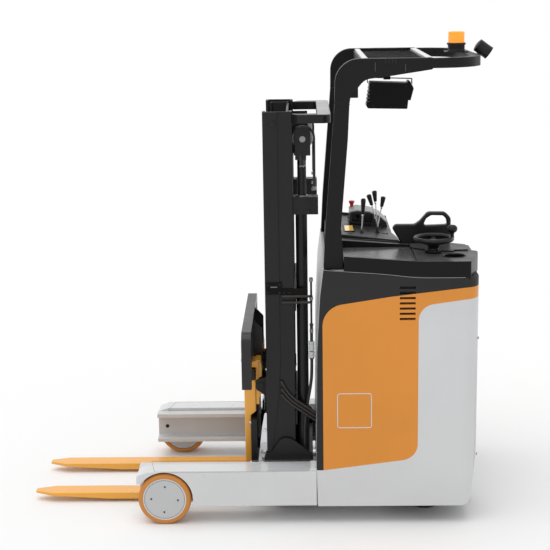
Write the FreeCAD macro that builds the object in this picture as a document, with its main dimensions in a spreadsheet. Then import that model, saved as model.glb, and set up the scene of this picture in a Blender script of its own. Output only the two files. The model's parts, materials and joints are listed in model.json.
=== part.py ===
"""Stand-up reach truck, built as separate pieces on a fixed chassis.

Frame: +X runs forward to the fork tips, +Y to the side with the drive unit, +Z up.
The floor is Z = 0 and the origin is under the middle of the whole machine.
Lengths along X in the spreadsheet are measured forward from the front of the body.
"""
import FreeCAD, Part
import math
import os

import Sketcher
from FreeCAD import Placement, Rotation, Vector

DRIVING_SIZES = {
    # whole machine
    "overall_width": 1100, "fork_tip_reach": 1414, "lamp_overhang": 872,
    "body_length": 760, "body_bottom": 89, "skin": 25,
    # load legs and their rails
    "leg_width": 112, "leg_bottom": 93, "leg_top": 265, "leg_length": 804, "nose_length": 56,
    "nose_drop": 18, "nose_bottom": 205, "arch_gap": 9, "arch_plate": 8,
    "rail_depth": 65, "rail_top": 250, "rail_flange": 21, "rail_web": 8, "rail_reach": 858,
    "stop_bolt_reach": 809, "stop_bolt_radius": 8,
    # load wheels
    "load_axle_reach": 728, "load_radius": 127, "load_width": 96, "load_hub_radius": 98,
    "load_pin_radius": 22, "load_cap_radius": 95,
    # body
    "front_lean": 40, "skirt_top": 270, "seam_height": 1205, "corner_radius": 70,
    "console_edge": 120, "bay_divider": 330, "frame_half_width": 438, "plate": 12,
    "floor_height": 225, "mat_thickness": 14,
    "wall_right_height": 1060, "wall_right_width": 62,
    "battery_length": 280, "battery_width": 900, "battery_bottom": 215, "battery_height": 780,
    # drive unit
    "drive_reach": 530, "drive_offset": 325, "drive_radius": 165, "drive_width": 80,
    "drive_hub_radius": 118, "turntable_height": 372, "turntable_radius": 120,
    "motor_radius": 98, "motor_height": 330, "wheel_well_radius": 196,
    # caster
    "caster_reach": 575, "caster_offset": 330, "caster_radius": 89, "caster_width": 58,
    "caster_trail": 42, "caster_gap": 26,
    # steering wheel
    "helm_reach": 563, "helm_offset": 335, "helm_height": 1343, "helm_radius": 88,
    "helm_rim": 10, "console_top": 1275,
    # overhead guard
    "guard_top": 2196, "guard_half_width": 520, "guard_bend": 110, "pillar_width": 68,
    "pillar_foot": 1235, "pillar_seam": 1997, "guard_depth": 50, "guard_length": 738,
    "guard_nose": 98,
    # beacon
    "beacon_reach": 695, "beacon_radius": 40, "beacon_base": 40, "beacon_lens": 53, "bow_top": 2194,
    "lamp_radius": 36, "lamp_length": 70, "lamp_height": 2234,
    # mast
    "mast_front": 237, "mast_depth": 138, "mast_half_width": 356, "mast_top": 1950,
    "bow_half_width": 390,
    "mast_bottom": 98, "outer_flange": 66, "outer_wall": 14, "cheek_step": 6,
    "mast_gap": 6, "inner_half_width": 334, "inner_flange": 46, "inner_wall": 12,
    "inner_top": 1940, "inner_bottom": 222,
    "lift_stroke": 1350, "reach_stroke": 550,
    "barrel_radius": 27.5, "barrel_offset": 300, "barrel_reach": 60, "barrel_bottom": 128,
    "barrel_top": 1551, "rod_radius": 17, "rod_top": 1742,
    "sheave_reach": 51, "sheave_height": 1818, "sheave_radius": 50, "sheave_offset": 262,
    # reach carriage
    "cradle_half_width": 367, "cradle_front": 254, "cradle_back": 15, "cradle_top": 290,
    "cradle_bottom": 112, "hump_top": 372, "hump_reach": 158,
    "reach_roller_radius": 53, "reach_roller_height": 171.5,
    "front_roller_reach": 190, "rear_roller_reach": 72,
    # lift carriage and fork frame
    "carriage_half_width": 278, "carriage_plate": 16, "carriage_roller_radius": 34,
    "tilt_pin_reach": 268, "tilt_pin_height": 610, "tilt_pin_radius": 16,
    "hanger_half_width": 150, "hanger_plate": 30, "fork_bar_half_width": 300,
    "tilt_foot_reach": 266, "tilt_foot_height": 218, "tilt_head_reach": 258,
    "tilt_head_height": 508, "tilt_eye_pin": 8, "tilt_rod_radius": 11,
    # forks and backrest
    "fork_spacing": 414, "fork_width": 100, "fork_thickness": 35, "fork_top": 50,
    "shank_front": 350, "shank_top": 725,
    "backrest_front": 351, "backrest_depth": 46, "backrest_half_width": 461,
    "backrest_top": 914, "backrest_bottom": 643, "backrest_bar": 48,
}


class Size:
    """A length that keeps its value together with the spreadsheet formula that gives it."""

    def __init__(self, value, text):
        self.value = value
        self.text = text

    def __add__(self, other):
        other = as_size(other)
        return Size(self.value + other.value, f"({self.text} + {other.text})")

    def __radd__(self, other):
        return as_size(other) + self

    def __sub__(self, other):
        other = as_size(other)
        return Size(self.value - other.value, f"({self.text} - {other.text})")

    def __rsub__(self, other):
        return as_size(other) - self

    def __mul__(self, factor):
        return Size(self.value * factor, f"({self.text} * {factor})")

    __rmul__ = __mul__

    def __truediv__(self, divisor):
        return Size(self.value / divisor, f"({self.text} / {divisor})")

    def __neg__(self):
        return self * -1


def as_size(number):
    """A plain number as a Size, and a Size unchanged."""
    return number if isinstance(number, Size) else Size(number, repr(number))


def low_high(first, second):
    """Two sizes in rising order."""
    first, second = as_size(first), as_size(second)
    return (first, second) if first.value <= second.value else (second, first)


doc = FreeCAD.newDocument("reach_truck")
sheet = doc.addObject("Spreadsheet::Sheet", "sizes")
for row, (alias, number) in enumerate(DRIVING_SIZES.items(), start=1):
    sheet.set(f"A{row}", alias.replace("_", " "))
    sheet.set(f"B{row}", str(number))
    sheet.setAlias(f"B{row}", alias)
doc.recompute()


def size(alias):
    """The named cell of the spreadsheet."""
    return Size(DRIVING_SIZES[alias], f"sizes.{alias}")


FRONT = (size("lamp_overhang") - size("fork_tip_reach")) / 2
REAR = FRONT - size("body_length")
HALF_WIDTH = size("overall_width") / 2
SKIN = size("skin")
LEFT, RIGHT = 1, -1
SIDE_NAMES = {LEFT: "left", RIGHT: "right"}
PLANES = {"XY": ("XY_Plane", 1), "XZ": ("XZ_Plane", -1), "YZ": ("YZ_Plane", 1)}
exported = []


def bind(thing, prop, length):
    """Set one property of an object from a Size, by its formula."""
    thing.setExpression(prop, as_size(length).text)


def keep(thing, label):
    """Mark an object as a finished piece with its own file."""
    thing.Label = label
    exported.append(thing)
    return thing


# ---------------------------------------------------------------- sketches and features

def sketch_on(body, plane, at):
    """An empty sketch parallel to one of the body's origin planes, at the coordinate `at`."""
    role, side = PLANES[plane]
    sketch = body.newObject("Sketcher::SketchObject", "Sketch")
    origin_plane = next(f for f in body.Origin.OriginFeatures if f.Role == role)
    sketch.AttachmentSupport = [(origin_plane, "")]
    sketch.MapMode = "FlatFace"
    offset = as_size(at) * side
    sketch.AttachmentOffset = Placement(Vector(0, 0, offset.value), Rotation())
    bind(sketch, "AttachmentOffset.Base.z", offset)
    return sketch


def constrain(sketch, kind, *where, length=None):
    """Add one constraint, driven by a Size when one is given."""
    if length is None:
        sketch.addConstraint(Sketcher.Constraint(kind, *where))
        return
    length = as_size(length)
    index = sketch.addConstraint(Sketcher.Constraint(kind, *where, length.value))
    if "sizes." in length.text:
        sketch.setExpression(f"Constraints[{index}]", length.text)


def outline(sketch, corners):
    """Draw a closed outline of (u, v) or (u, v, radius) corners and constrain it fully."""
    count = len(corners)
    points = [Vector(as_size(c[0]).value, as_size(c[1]).value, 0) for c in corners]
    radii = [as_size(c[2]) if len(c) > 2 else None for c in corners]
    enters, leaves, arcs = [], [], {}
    for i, point in enumerate(points):
        if radii[i] is None:
            enters.append(point)
            leaves.append(point)
            continue
        back = (points[i - 1] - point).normalize()
        ahead = (points[(i + 1) % count] - point).normalize()
        half_turn = back.getAngle(ahead) / 2
        reach = radii[i].value / math.tan(half_turn)
        centre = point + (back + ahead).normalize() * (radii[i].value / math.sin(half_turn))
        enters.append(point + back * reach)
        leaves.append(point + ahead * reach)
        arcs[i] = (centre, back.cross(ahead).z < 0)
    lines = [Part.LineSegment(leaves[i], enters[(i + 1) % count]) for i in range(count)]
    sketch.addGeometry(lines, False)
    for i, point in enumerate(points):
        before = (i - 1) % count
        if i not in arcs:
            constrain(sketch, "Coincident", before, 2, i, 1)
            constrain(sketch, "DistanceX", -1, 1, i, 1, length=corners[i][0])
            constrain(sketch, "DistanceY", -1, 1, i, 1, length=corners[i][1])
            continue
        centre, turns_left = arcs[i]
        first, last = (enters[i], leaves[i]) if turns_left else (leaves[i], enters[i])
        angles = [math.atan2(p.y - centre.y, p.x - centre.x) for p in (first, last)]
        circle = Part.Circle(centre, Vector(0, 0, 1), radii[i].value)
        arc = sketch.addGeometry(Part.ArcOfCircle(circle, *angles), False)
        mark = sketch.addGeometry(Part.Point(point), True)
        begin, end = (1, 2) if turns_left else (2, 1)
        constrain(sketch, "Tangent", before, 2, arc, begin)
        constrain(sketch, "Tangent", arc, end, i, 1)
        constrain(sketch, "Radius", arc, length=radii[i])
        constrain(sketch, "DistanceX", -1, 1, mark, 1, length=corners[i][0])
        constrain(sketch, "DistanceY", -1, 1, mark, 1, length=corners[i][1])
        constrain(sketch, "PointOnObject", mark, 1, before)
        constrain(sketch, "PointOnObject", mark, 1, i)


def circle_on(sketch, u, v, radius):
    """Draw one circle and constrain its centre and radius."""
    centre = Vector(as_size(u).value, as_size(v).value, 0)
    circle = Part.Circle(centre, Vector(0, 0, 1), as_size(radius).value)
    index = sketch.addGeometry(circle, False)
    constrain(sketch, "DistanceX", -1, 1, index, 3, length=u)
    constrain(sketch, "DistanceY", -1, 1, index, 3, length=v)
    constrain(sketch, "Radius", index, length=radius)


def new_body(name):
    """A PartDesign body."""
    return doc.addObject("PartDesign::Body", name)


def rectangle(u_low, u_high, v_low, v_high):
    """The four corners of a rectangle."""
    return [(u_low, v_low), (u_high, v_low), (u_high, v_high), (u_low, v_high)]


def raise_profile(body, plane, draw, low, high):
    """Pad a profile between two coordinates along the plane's normal."""
    low, high = low_high(low, high)
    sketch = sketch_on(body, plane, high if plane == "XZ" else low)
    draw(sketch)
    pad = body.newObject("PartDesign::Pad", "Pad")
    pad.Profile = sketch
    bind(pad, "Length", high - low)
    return pad


def sink_profile(body, plane, draw, low, high):
    """Pocket a profile between two coordinates along the plane's normal."""
    low, high = low_high(low, high)
    sketch = sketch_on(body, plane, low if plane == "XZ" else high)
    draw(sketch)
    pocket = body.newObject("PartDesign::Pocket", "Pocket")
    pocket.Profile = sketch
    bind(pocket, "Length", high - low)
    return pocket


def slab(body, plane, corners, low, high):
    """Pad an outline between two coordinates."""
    return raise_profile(body, plane, lambda s: outline(s, corners), low, high)


def cut_slab(body, plane, corners, low, high):
    """Pocket an outline between two coordinates."""
    return sink_profile(body, plane, lambda s: outline(s, corners), low, high)


def disc(body, plane, u, v, radius, low, high):
    """Pad a circle between two coordinates."""
    return raise_profile(body, plane, lambda s: circle_on(s, u, v, radius), low, high)


def cut_disc(body, plane, u, v, radius, low, high):
    """Pocket a circle between two coordinates."""
    return sink_profile(body, plane, lambda s: circle_on(s, u, v, radius), low, high)


def revolve(body, corners, axis="V_Axis"):
    """Turn an outline of the XY plane about the body's own Y axis."""
    sketch = sketch_on(body, "XY", 0)
    outline(sketch, corners)
    turn = body.newObject("PartDesign::Revolution", "Revolution")
    turn.Profile = sketch
    turn.ReferenceAxis = (sketch, [axis])
    turn.Angle = 360
    return turn


def place(thing, x=0, y=0, z=0, turn=None):
    """Move a piece's own origin, with an optional fixed rotation."""
    spot = [as_size(c) for c in (x, y, z)]
    thing.Placement = Placement(Vector(*[c.value for c in spot]), turn or Rotation())
    for axis, coordinate in zip("xyz", spot):
        bind(thing, f"Placement.Base.{axis}", coordinate)
    return thing


def box(name, x, y, z):
    """A box between (low, high) sizes on each axis."""
    solid = doc.addObject("Part::Box", name)
    spans = [low_high(*span) for span in (x, y, z)]
    for prop, (low, high) in zip(("Length", "Width", "Height"), spans):
        bind(solid, prop, high - low)
    return place(solid, *[low for low, high in spans])


AXIS_TURNS = {
    "Z": Rotation(),
    "Y": Rotation(Vector(1, 0, 0), -90),
    "X": Rotation(Vector(0, 1, 0), 90),
}


def cylinder(name, axis, centre, radius, low, high):
    """A cylinder about an axis, through two other coordinates, between low and high."""
    solid = doc.addObject("Part::Cylinder", name)
    low, high = low_high(low, high)
    bind(solid, "Radius", radius)
    bind(solid, "Height", high - low)
    u, v = centre
    spots = {"X": (low, u, v), "Y": (u, low, v), "Z": (u, v, low)}
    return place(solid, *spots[axis], turn=AXIS_TURNS[axis])


def fuse(name, shapes):
    """One object made of several solids, joined where they touch."""
    joined = doc.addObject("Part::MultiFuse", name)
    joined.Shapes = shapes
    return joined


def gather(name, shapes):
    """One object that holds several separate solids."""
    group = doc.addObject("Part::Compound", name)
    group.Links = shapes
    return group


def cut(name, base, tool):
    """Base with the tool taken away."""
    result = doc.addObject("Part::Cut", name)
    result.Base = base
    result.Tool = tool
    return result


def common(name, base, tool):
    """What base and tool share."""
    result = doc.addObject("Part::Common", name)
    result.Base = base
    result.Tool = tool
    return result


def span(side, inner, outer):
    """The Y range between two distances from the centre line, on one side."""
    return low_high(as_size(inner) * side, as_size(outer) * side)


# ---------------------------------------------------------------- load legs

STOP_BOLT_HEIGHT = (size("leg_bottom") + size("rail_top")) / 2 - 10


def build_leg(side):
    """The painted box leg with its sloped nose, the arch for its load wheel and the wheel's pin."""
    body = new_body("Leg")
    axle = FRONT + size("load_axle_reach")
    tip = FRONT + size("leg_length") + size("nose_length")
    outer = HALF_WIDTH
    inner = HALF_WIDTH - size("leg_width")
    slab(body, "XZ", [
        (FRONT, size("leg_bottom")),
        (tip, size("leg_bottom")),
        (tip, size("leg_top") - size("nose_drop"), 14),
        (FRONT + size("leg_length"), size("leg_top")),
        (FRONT, size("leg_top")),
    ], *span(side, inner, outer))
    cut_slab(body, "XZ", rectangle(axle, tip + 5, size("leg_bottom") - 5, size("nose_bottom")),
             *span(side, inner - 5, outer + 5))
    cut_disc(body, "XZ", axle, size("load_radius"), size("load_radius") + size("arch_gap"),
             *span(side, inner + size("arch_plate"), outer + 5))
    pin = cylinder("Pin", "Y", (axle, size("load_radius")), size("load_pin_radius"),
                   *span(side, inner + 1, outer - 30))
    return keep(fuse("Leg", [body, pin]), f"leg_{SIDE_NAMES[side]}")


def build_channel(side):
    """The steel channel that a leg carries on its inner side, open towards the middle."""
    body = new_body("Channel")
    web_outer = HALF_WIDTH - size("leg_width")
    web_inner = web_outer - size("rail_web")
    lips = web_outer - size("rail_depth")
    low, high = size("leg_bottom"), size("rail_top")
    flange = size("rail_flange")
    end = FRONT + size("rail_reach")
    slab(body, "YZ", [
        (web_outer * side, low), (web_outer * side, high), (lips * side, high),
        (lips * side, high - flange, 4), (web_inner * side, high - flange, 8),
        (web_inner * side, low + flange, 8), (lips * side, low + flange, 4), (lips * side, low),
    ], FRONT, end)
    cut_disc(body, "XZ", FRONT + size("stop_bolt_reach"), STOP_BOLT_HEIGHT,
             size("stop_bolt_radius"), *span(side, web_inner - 5, web_outer + 5))
    return body


def build_load_wheel(side):
    """A load wheel: a polyurethane tyre on a hub with a flat cap on its outer face."""
    name = SIDE_NAMES[side]
    half = size("load_width") / 2
    tyre = new_body("Tyre")
    revolve(tyre, [
        (size("load_hub_radius"), -half), (size("load_radius"), -half, 7),
        (size("load_radius"), half, 7), (size("load_hub_radius"), half),
    ])
    hub = new_body("Hub")
    pin = size("load_pin_radius") + 0.05
    revolve(hub, [
        (pin, -half + 4), (size("load_hub_radius"), -half + 4), (size("load_hub_radius"), half - 4),
        (size("load_cap_radius"), half), (0, half), (0, half - 20), (pin, half - 20),
    ])
    centre = HALF_WIDTH - half
    for body in (tyre, hub):
        turn = Rotation() if side == LEFT else Rotation(Vector(0, 0, 1), 180)
        place(body, FRONT + size("load_axle_reach"), centre * side, size("load_radius"), turn)
    return keep(tyre, f"load_tyre_{name}"), keep(hub, f"load_hub_{name}")


# ---------------------------------------------------------------- body

def build_frame():
    """The welded base: floor plate, divider and front wall between the two legs."""
    body = new_body("Frame")
    half = HALF_WIDTH - SKIN
    wall = size("plate")
    floor_top = size("leg_bottom") + wall
    slab(body, "XY", rectangle(REAR + SKIN, FRONT, -half, half), size("leg_bottom"), floor_top)
    divider = FRONT - size("bay_divider")
    slab(body, "XY", rectangle(divider - wall, divider, -half, half), floor_top, 1060)
    slab(body, "XZ", [
        (FRONT - 14, floor_top), (FRONT, floor_top), (FRONT, 292), (FRONT - 8, 850),
        (FRONT - 23, 1110), (FRONT - size("front_lean"), 1235),
        (FRONT - size("front_lean") - 14, 1235), (FRONT - 37, 1110), (FRONT - 22, 850),
        (FRONT - 14, 292),
    ], -half, half)
    cut_disc(body, "XY", FRONT - size("drive_reach"), size("drive_offset"),
             size("wheel_well_radius"), size("leg_bottom") - 5, floor_top + 5)
    cut_disc(body, "XY", FRONT - size("caster_reach"), -size("caster_offset"), 152,
             size("leg_bottom") - 5, floor_top + 5)
    cut_slab(body, "YZ", rectangle(-60, 60, 120, 200), FRONT - 20, FRONT + 5)
    cut_slab(body, "YZ", rectangle(-60, 60, 120, 200), divider - wall - 5, divider + 5)
    seats = []
    foot = size("pillar_foot")
    for side in (LEFT, RIGHT):
        seats.append(box("Seat", (FRONT - 134, FRONT - 45), span(side, 446, half),
                         (foot - 20, foot)))
        seats.append(box("SeatWeb", (FRONT - 134, FRONT - 45), span(side, half - 8, half),
                         (1000, foot)))
    return [body, *seats]


def side_regions(side):
    """Prisms that split a side wall into its orange panel and its dark upper band."""
    name = SIDE_NAMES[side]
    reach = span(side, 0 if side == LEFT else HALF_WIDTH - SKIN - 1, HALF_WIDTH + 20)
    band = new_body(f"Band_{name}")
    slab(band, "XZ", [
        (FRONT + 20, size("skirt_top")), (FRONT + 20, 1260), (REAR - 40, 1260),
        (REAR - 40, 1130), (FRONT - 300, 1085), (FRONT - 33, 940), (FRONT - 33, size("skirt_top")),
    ], *reach)
    orange = new_body(f"Orange_{name}")
    slab(orange, "XZ", [
        (FRONT - 33, size("skirt_top")), (FRONT - 33, 1064, 105), (FRONT - 353, 1113, 900),
        (FRONT - 695, 1152), (REAR - 40, 1156), (REAR - 40, 1104), (FRONT - 694, 1096),
        (FRONT - 478, 1066, 78), (FRONT - 478, 327, 80),
    ], *reach)
    return band, orange


def build_left_side(frame):
    """The drive bay's wall on the left: a shell in plan, split along the colour lines."""
    shell = new_body("Shell")
    inner = size("console_edge")
    outer_corner = size("corner_radius")
    slab(shell, "XY", [
        (FRONT, HALF_WIDTH), (REAR, HALF_WIDTH, outer_corner), (REAR, 303, 12),
        (REAR + 18, 285, 12), (REAR + 18, inner, 20), (FRONT - size("bay_divider") - 14, inner),
        (FRONT - size("bay_divider") - 14, inner + SKIN), (REAR + 18 + SKIN, inner + SKIN),
        (REAR + 18 + SKIN, 292), (REAR + SKIN, 310),
        (REAR + SKIN, HALF_WIDTH - SKIN, outer_corner - SKIN), (FRONT, HALF_WIDTH - SKIN),
    ], size("body_bottom"), 1260)
    return split_side(shell, LEFT, 1240, frame)


def split_side(shell, side, top, frame):
    """Cut one side's shell by its top and rear lines and share it between three pieces."""
    name = SIDE_NAMES[side]
    trim = new_body(f"Trim_{name}")
    if side == LEFT:
        top_line = [(FRONT - size("front_lean"), 1240), (FRONT - 122, 1232),
                    (FRONT - 377, 1211, 600), (FRONT - 683, 1199), (REAR - 5, 1198)]
    else:
        top_line = [(FRONT - size("front_lean"), 1240), (FRONT - 122, 1232),
                    (FRONT - 330, 1215), (FRONT - 430, top, 60), (REAR - 5, top)]
    slab(trim, "XZ", [
        (FRONT - 6, size("body_bottom")), (FRONT - 0.5, size("leg_top")), (FRONT, 292),
        (FRONT - 8, 850), (FRONT - 23, 1110), *top_line,
        (REAR - 5, 420), (REAR + 34, size("body_bottom"), 45),
    ], *span(side, 0, HALF_WIDTH + 20))
    rear_step = size("skin") + 18 if side == LEFT else as_size(0)
    under = box(f"Under_{name}", (REAR + rear_step, FRONT - 0.5),
                span(side, 0, HALF_WIDTH - SKIN), (size("body_bottom") - 5, size("leg_bottom") + 1))
    wall = cut(f"Wall_{name}", common(f"Skin_{name}", shell, trim),
               gather(f"Inside_{name}", [frame, under]))
    band, orange = side_regions(side)
    panel = keep(common("Panel", wall, orange), f"side_panel_{name}")
    dark = fuse(f"Upper_{name}", [band, orange])
    upper = keep(common("Upper", cut(f"Rest_{name}", wall, orange), band), f"upper_band_{name}")
    cover = keep(cut("Cover", wall, dark), f"rear_cover_{name}")
    return panel, upper, cover


def build_right_side(frame):
    """The operator bay's wall on the right, hollow, lower behind the battery."""
    shell = new_body("Shell")
    width = size("wall_right_width")
    outer = -HALF_WIDTH
    divider = FRONT - size("bay_divider") - 14
    slab(shell, "XY", [
        (FRONT, outer), (REAR + 40, outer, 30), (REAR + 40, outer + width, 20),
        (divider, outer + width), (divider, outer + width - 8), (REAR + 48, outer + width - 8, 12),
        (REAR + 48, outer + 8, 22), (divider, outer + 8), (divider, outer + SKIN),
        (FRONT, outer + SKIN),
    ], size("body_bottom"), 1260)
    return split_side(shell, RIGHT, size("wall_right_height"), frame)


def build_battery():
    """The traction battery, one plain block."""
    half = size("battery_width") / 2
    front = FRONT - 36
    return keep(box("Battery", (front - size("battery_length"), front), (-half, half),
                    (size("battery_bottom"), size("battery_bottom") + size("battery_height"))),
                "battery")


def build_battery_ledges():
    """The two ledges that the battery stands on."""
    front = FRONT - 32
    ledges = []
    for side in (LEFT, RIGHT):
        y = span(side, 380, 450)
        ledges.append(box("Ledge", (front - size("battery_length") - 4, front), y,
                          (size("leg_bottom") + size("plate"), size("battery_bottom"))))
    return ledges


def build_floor_pan():
    """The raised floor of the operator bay, with the caster's mounting plate under it."""
    right = -HALF_WIDTH + size("wall_right_width") + 1
    left = size("console_edge") - 1
    front = FRONT - size("bay_divider") - size("plate")
    top = size("floor_height")
    pan = new_body("FloorPan")
    low = size("leg_bottom") + size("plate")
    slab(pan, "XZ", [
        (REAR + 30, low), (REAR + 44, low), (REAR + 44, top - 10), (front, top - 10),
        (front, top), (REAR + 30, top),
    ], right, left)
    x, y = FRONT - size("caster_reach"), -size("caster_offset")
    cut_disc(pan, "XY", x, y, 158, low - 5, 2 * size("caster_radius") + 12)
    return [pan, box("CasterPlate", (x - 60, x + 60), (y - 60, y + 60), (top - 18, top - 10))]


def build_console():
    """The cover over the drive bay and battery, with the tray, cup and turntable recesses."""
    top = size("console_top")
    cover = new_body("Console")
    slab(cover, "XY", [
        (FRONT - 60, HALF_WIDTH - 2), (FRONT - 704, HALF_WIDTH - 2, 8), (REAR - 4, 350, 12),
        (REAR - 6, 303, 8), (REAR + 18, 285, 10), (REAR + 18, 161, 12),
        (FRONT - 680, size("console_edge"), 10), (FRONT - 370, size("console_edge")),
        (FRONT - 370, -HALF_WIDTH + 2, 20), (FRONT - 60, -HALF_WIDTH + 2),
    ], 1190, top + 40)
    side_view = new_body("ConsoleSide")
    slab(side_view, "XZ", [
        (FRONT - size("front_lean"), 1241), (FRONT - 122, 1233), (FRONT - 377, 1212, 600),
        (FRONT - 683, 1200), (REAR - 20, 1199), (REAR - 20, top), (FRONT - 490, top, 500),
        (FRONT - 134, top + 28), (FRONT - 46, top + 28),
    ], -HALF_WIDTH - 5, HALF_WIDTH + 5)
    tray = box("Tray", (FRONT - 470, FRONT - 130), (250, HALF_WIDTH - 22), (1246, top + 60))
    cup = cylinder("Cup", "Z", (FRONT - 653, 413), 57, top - 52, top + 5)
    dish = cylinder("Dish", "Z", (FRONT - size("helm_reach"), size("helm_offset")), 96,
                    top - 16, top + 5)
    notches = [box("Notch", (FRONT - 134.3, FRONT - 30), span(side, 446, HALF_WIDTH + 5),
                   (1180, top + 60)) for side in (LEFT, RIGHT)]
    shape = common("ConsoleShape", cover, side_view)
    return keep(cut("ConsoleCut", shape, fuse("ConsoleTools", [tray, cup, dish, *notches])),
                "console_cover")


def build_dash():
    """The raised control console in front of the operator, with its hood."""
    body = new_body("Dash")
    crest = size("console_top") + 28.3
    slab(body, "XZ", [
        (FRONT - 100, crest), (FRONT - 100, 1352, 10), (FRONT - 170, 1360, 10),
        (FRONT - 190, 1405, 20), (FRONT - 255, 1410, 60), (FRONT - 345, 1372, 20),
        (FRONT - 385, 1300, 12), (FRONT - 385, crest - 19.7), (FRONT - 134, crest),
    ], -430, 60)
    slab(body, "XZ", [
        (FRONT - 100, crest), (FRONT - 100, crest + 14), (FRONT - 134, crest + 14),
        (FRONT - 360, crest - 3), (FRONT - 360, crest - 17.7), (FRONT - 134, crest),
    ], 60, 246)
    cut_slab(body, "XY", rectangle(FRONT - 300, FRONT - 200, -260, -60), 1380, 1440)
    return keep(body, "dash_console")


def lever_solids(x, y, foot, top, lean_x, lean_y):
    """One hand lever: a thin shaft with a grip that widens to its end."""
    height = top - foot
    shaft = doc.addObject("Part::Cylinder", "LeverShaft")
    shaft.Radius = 4
    shaft.Height = height * 0.55
    grip = doc.addObject("Part::Cone", "LeverGrip")
    grip.Radius1 = 8
    grip.Radius2 = 11
    grip.Height = height * 0.5
    turn = Rotation(Vector(0, 1, 0), lean_x) * Rotation(Vector(1, 0, 0), lean_y)
    base = Vector(FRONT.value + x, y, foot)
    for solid, along in ((shaft, 0), (grip, height * 0.5)):
        spot = base + turn.multVec(Vector(0, 0, along))
        place(solid, FRONT + (spot.x - FRONT.value), spot.y, spot.z, turn)
    return fuse("Lever", [shaft, grip])


def build_levers():
    """The four hydraulic levers on the dash."""
    levers = [
        lever_solids(-225, -120, 1381, 1492, 3, 0),
        lever_solids(-318, -275, 1385.2, 1500, 10, 5),
        lever_solids(-326, -305, 1381.4, 1512, 0, 0),
        lever_solids(-334, -335, 1377.2, 1500, -12, -5),
    ]
    return keep(gather("Levers", levers), "hand_levers")


def build_stop_button():
    """The red mushroom stop button on its stem."""
    body = new_body("Button")
    revolve(body, [(0, 0), (7, 0), (8, 20), (21, 28), (21, 34, 2), (0, 38)])
    place(body, FRONT - 215, -30, 1408.4, Rotation(Vector(1, 0, 0), 90))
    return keep(body, "stop_button")


def build_grab_handle():
    """The moulded side guard with its grab loop beside the steering console."""
    body = new_body("Handle")
    slab(body, "XZ", [
        (FRONT - 380, 1312, 22), (FRONT - 412, 1340, 14), (FRONT - 498, 1338, 40),
        (FRONT - 566, 1400, 25), (FRONT - 655, 1396, 40), (FRONT - 668, 1340, 30),
        (FRONT - 650, 1150, 20), (FRONT - 470, 1150, 20), (FRONT - 466, 1240, 60),
    ], size("console_edge") - 40.3, size("console_edge") - 0.3)
    cut_slab(body, "XZ", [
        (FRONT - 540, 1332, 12), (FRONT - 578, 1378, 10), (FRONT - 632, 1372, 18),
        (FRONT - 644, 1340, 12), (FRONT - 628, 1326, 8),
    ], 70, 125)
    return keep(body, "grab_handle")


def build_bay():
    """The operator bay's floor pan, its rubber mat, the pedal and the back pad."""
    half = HALF_WIDTH
    right = -half + size("wall_right_width") + 1
    left = size("console_edge") - 1
    front = FRONT - size("bay_divider") - size("plate")
    top = size("floor_height")
    mat = new_body("Mat")
    slab(mat, "XY", [
        (REAR + 40, right + 12, 15), (front - 8, right + 12, 15), (front - 8, left - 12, 15),
        (REAR + 40, left - 12, 15),
    ], top, top + size("mat_thickness"))
    keep(mat, "floor_mat")
    pedal = new_body("Pedal")
    slab(pedal, "XZ", [
        (FRONT - 470, top + 14), (FRONT - 380, top + 14), (FRONT - 380, top + 40, 6),
        (FRONT - 470, top + 24, 4),
    ], -300, -190)
    keep(pedal, "brake_pedal")
    pad = new_body("Pad")
    slab(pad, "YZ", [
        (-430, 620, 40), (-30, 620, 40), (-30, 1040, 40), (-430, 1040, 40),
    ], front - 40, front - 0.3)
    return keep(pad, "knee_pad")


# ---------------------------------------------------------------- drive unit and caster

def build_drive_unit():
    """The steered drive unit: motor block, turntable, gear case and drive wheel."""
    x = FRONT - size("drive_reach")
    y = size("drive_offset")
    table = size("turntable_height")
    radius = size("turntable_radius")
    half = size("drive_width") / 2
    motor_plate = box("MotorPlate", (x - 186.7, x + 185), (size("console_edge") + SKIN + 0.3, HALF_WIDTH - SKIN - 48),
                      (table + 25, table + 37))
    motor = cylinder("Motor", "Z", (x, y), size("motor_radius"), table + 37,
                     table + 37 + size("motor_height"))
    keep(fuse("MotorSet", [motor_plate, motor]), "drive_motor")
    bearing = cylinder("Bearing", "Z", (x, y), radius, table, table + 24.7)
    case = new_body("GearCase")
    slab(case, "XZ", [
        (x - 70, table), (x + 70, table), (x + 70, size("drive_radius"), 60),
        (x + 50, size("drive_radius") - 70, 45), (x - 50, size("drive_radius") - 70, 45),
        (x - 70, size("drive_radius"), 60),
    ], y - half - 66, y - half - 8)
    bridge = box("Bridge", (x - 70, x + 70), (y - half - 66, y + half + 6), (table - 30, table))
    spindle = cylinder("Spindle", "Y", (x, size("drive_radius")), 24, y - half - 8, y + half - 14)
    keep(fuse("GearSet", [bearing, case, bridge, spindle]), "drive_gearbox")
    tyre = new_body("Tyre")
    hub_radius = size("drive_hub_radius")
    rim = size("drive_radius")
    revolve(tyre, [(hub_radius, -half), (rim, -half, 8), (rim, half, 8), (hub_radius, half)])
    hub = new_body("Hub")
    revolve(hub, [
        (24.05, -half + 6), (hub_radius, -half + 6), (hub_radius, half - 6), (60, half - 6),
        (52, half + 0), (0, half + 0), (0, half - 13.7), (24.05, half - 13.7),
    ])
    for body in (tyre, hub):
        place(body, x, y, size("drive_radius"))
    keep(tyre, "drive_tyre")
    keep(hub, "drive_hub")


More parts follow.
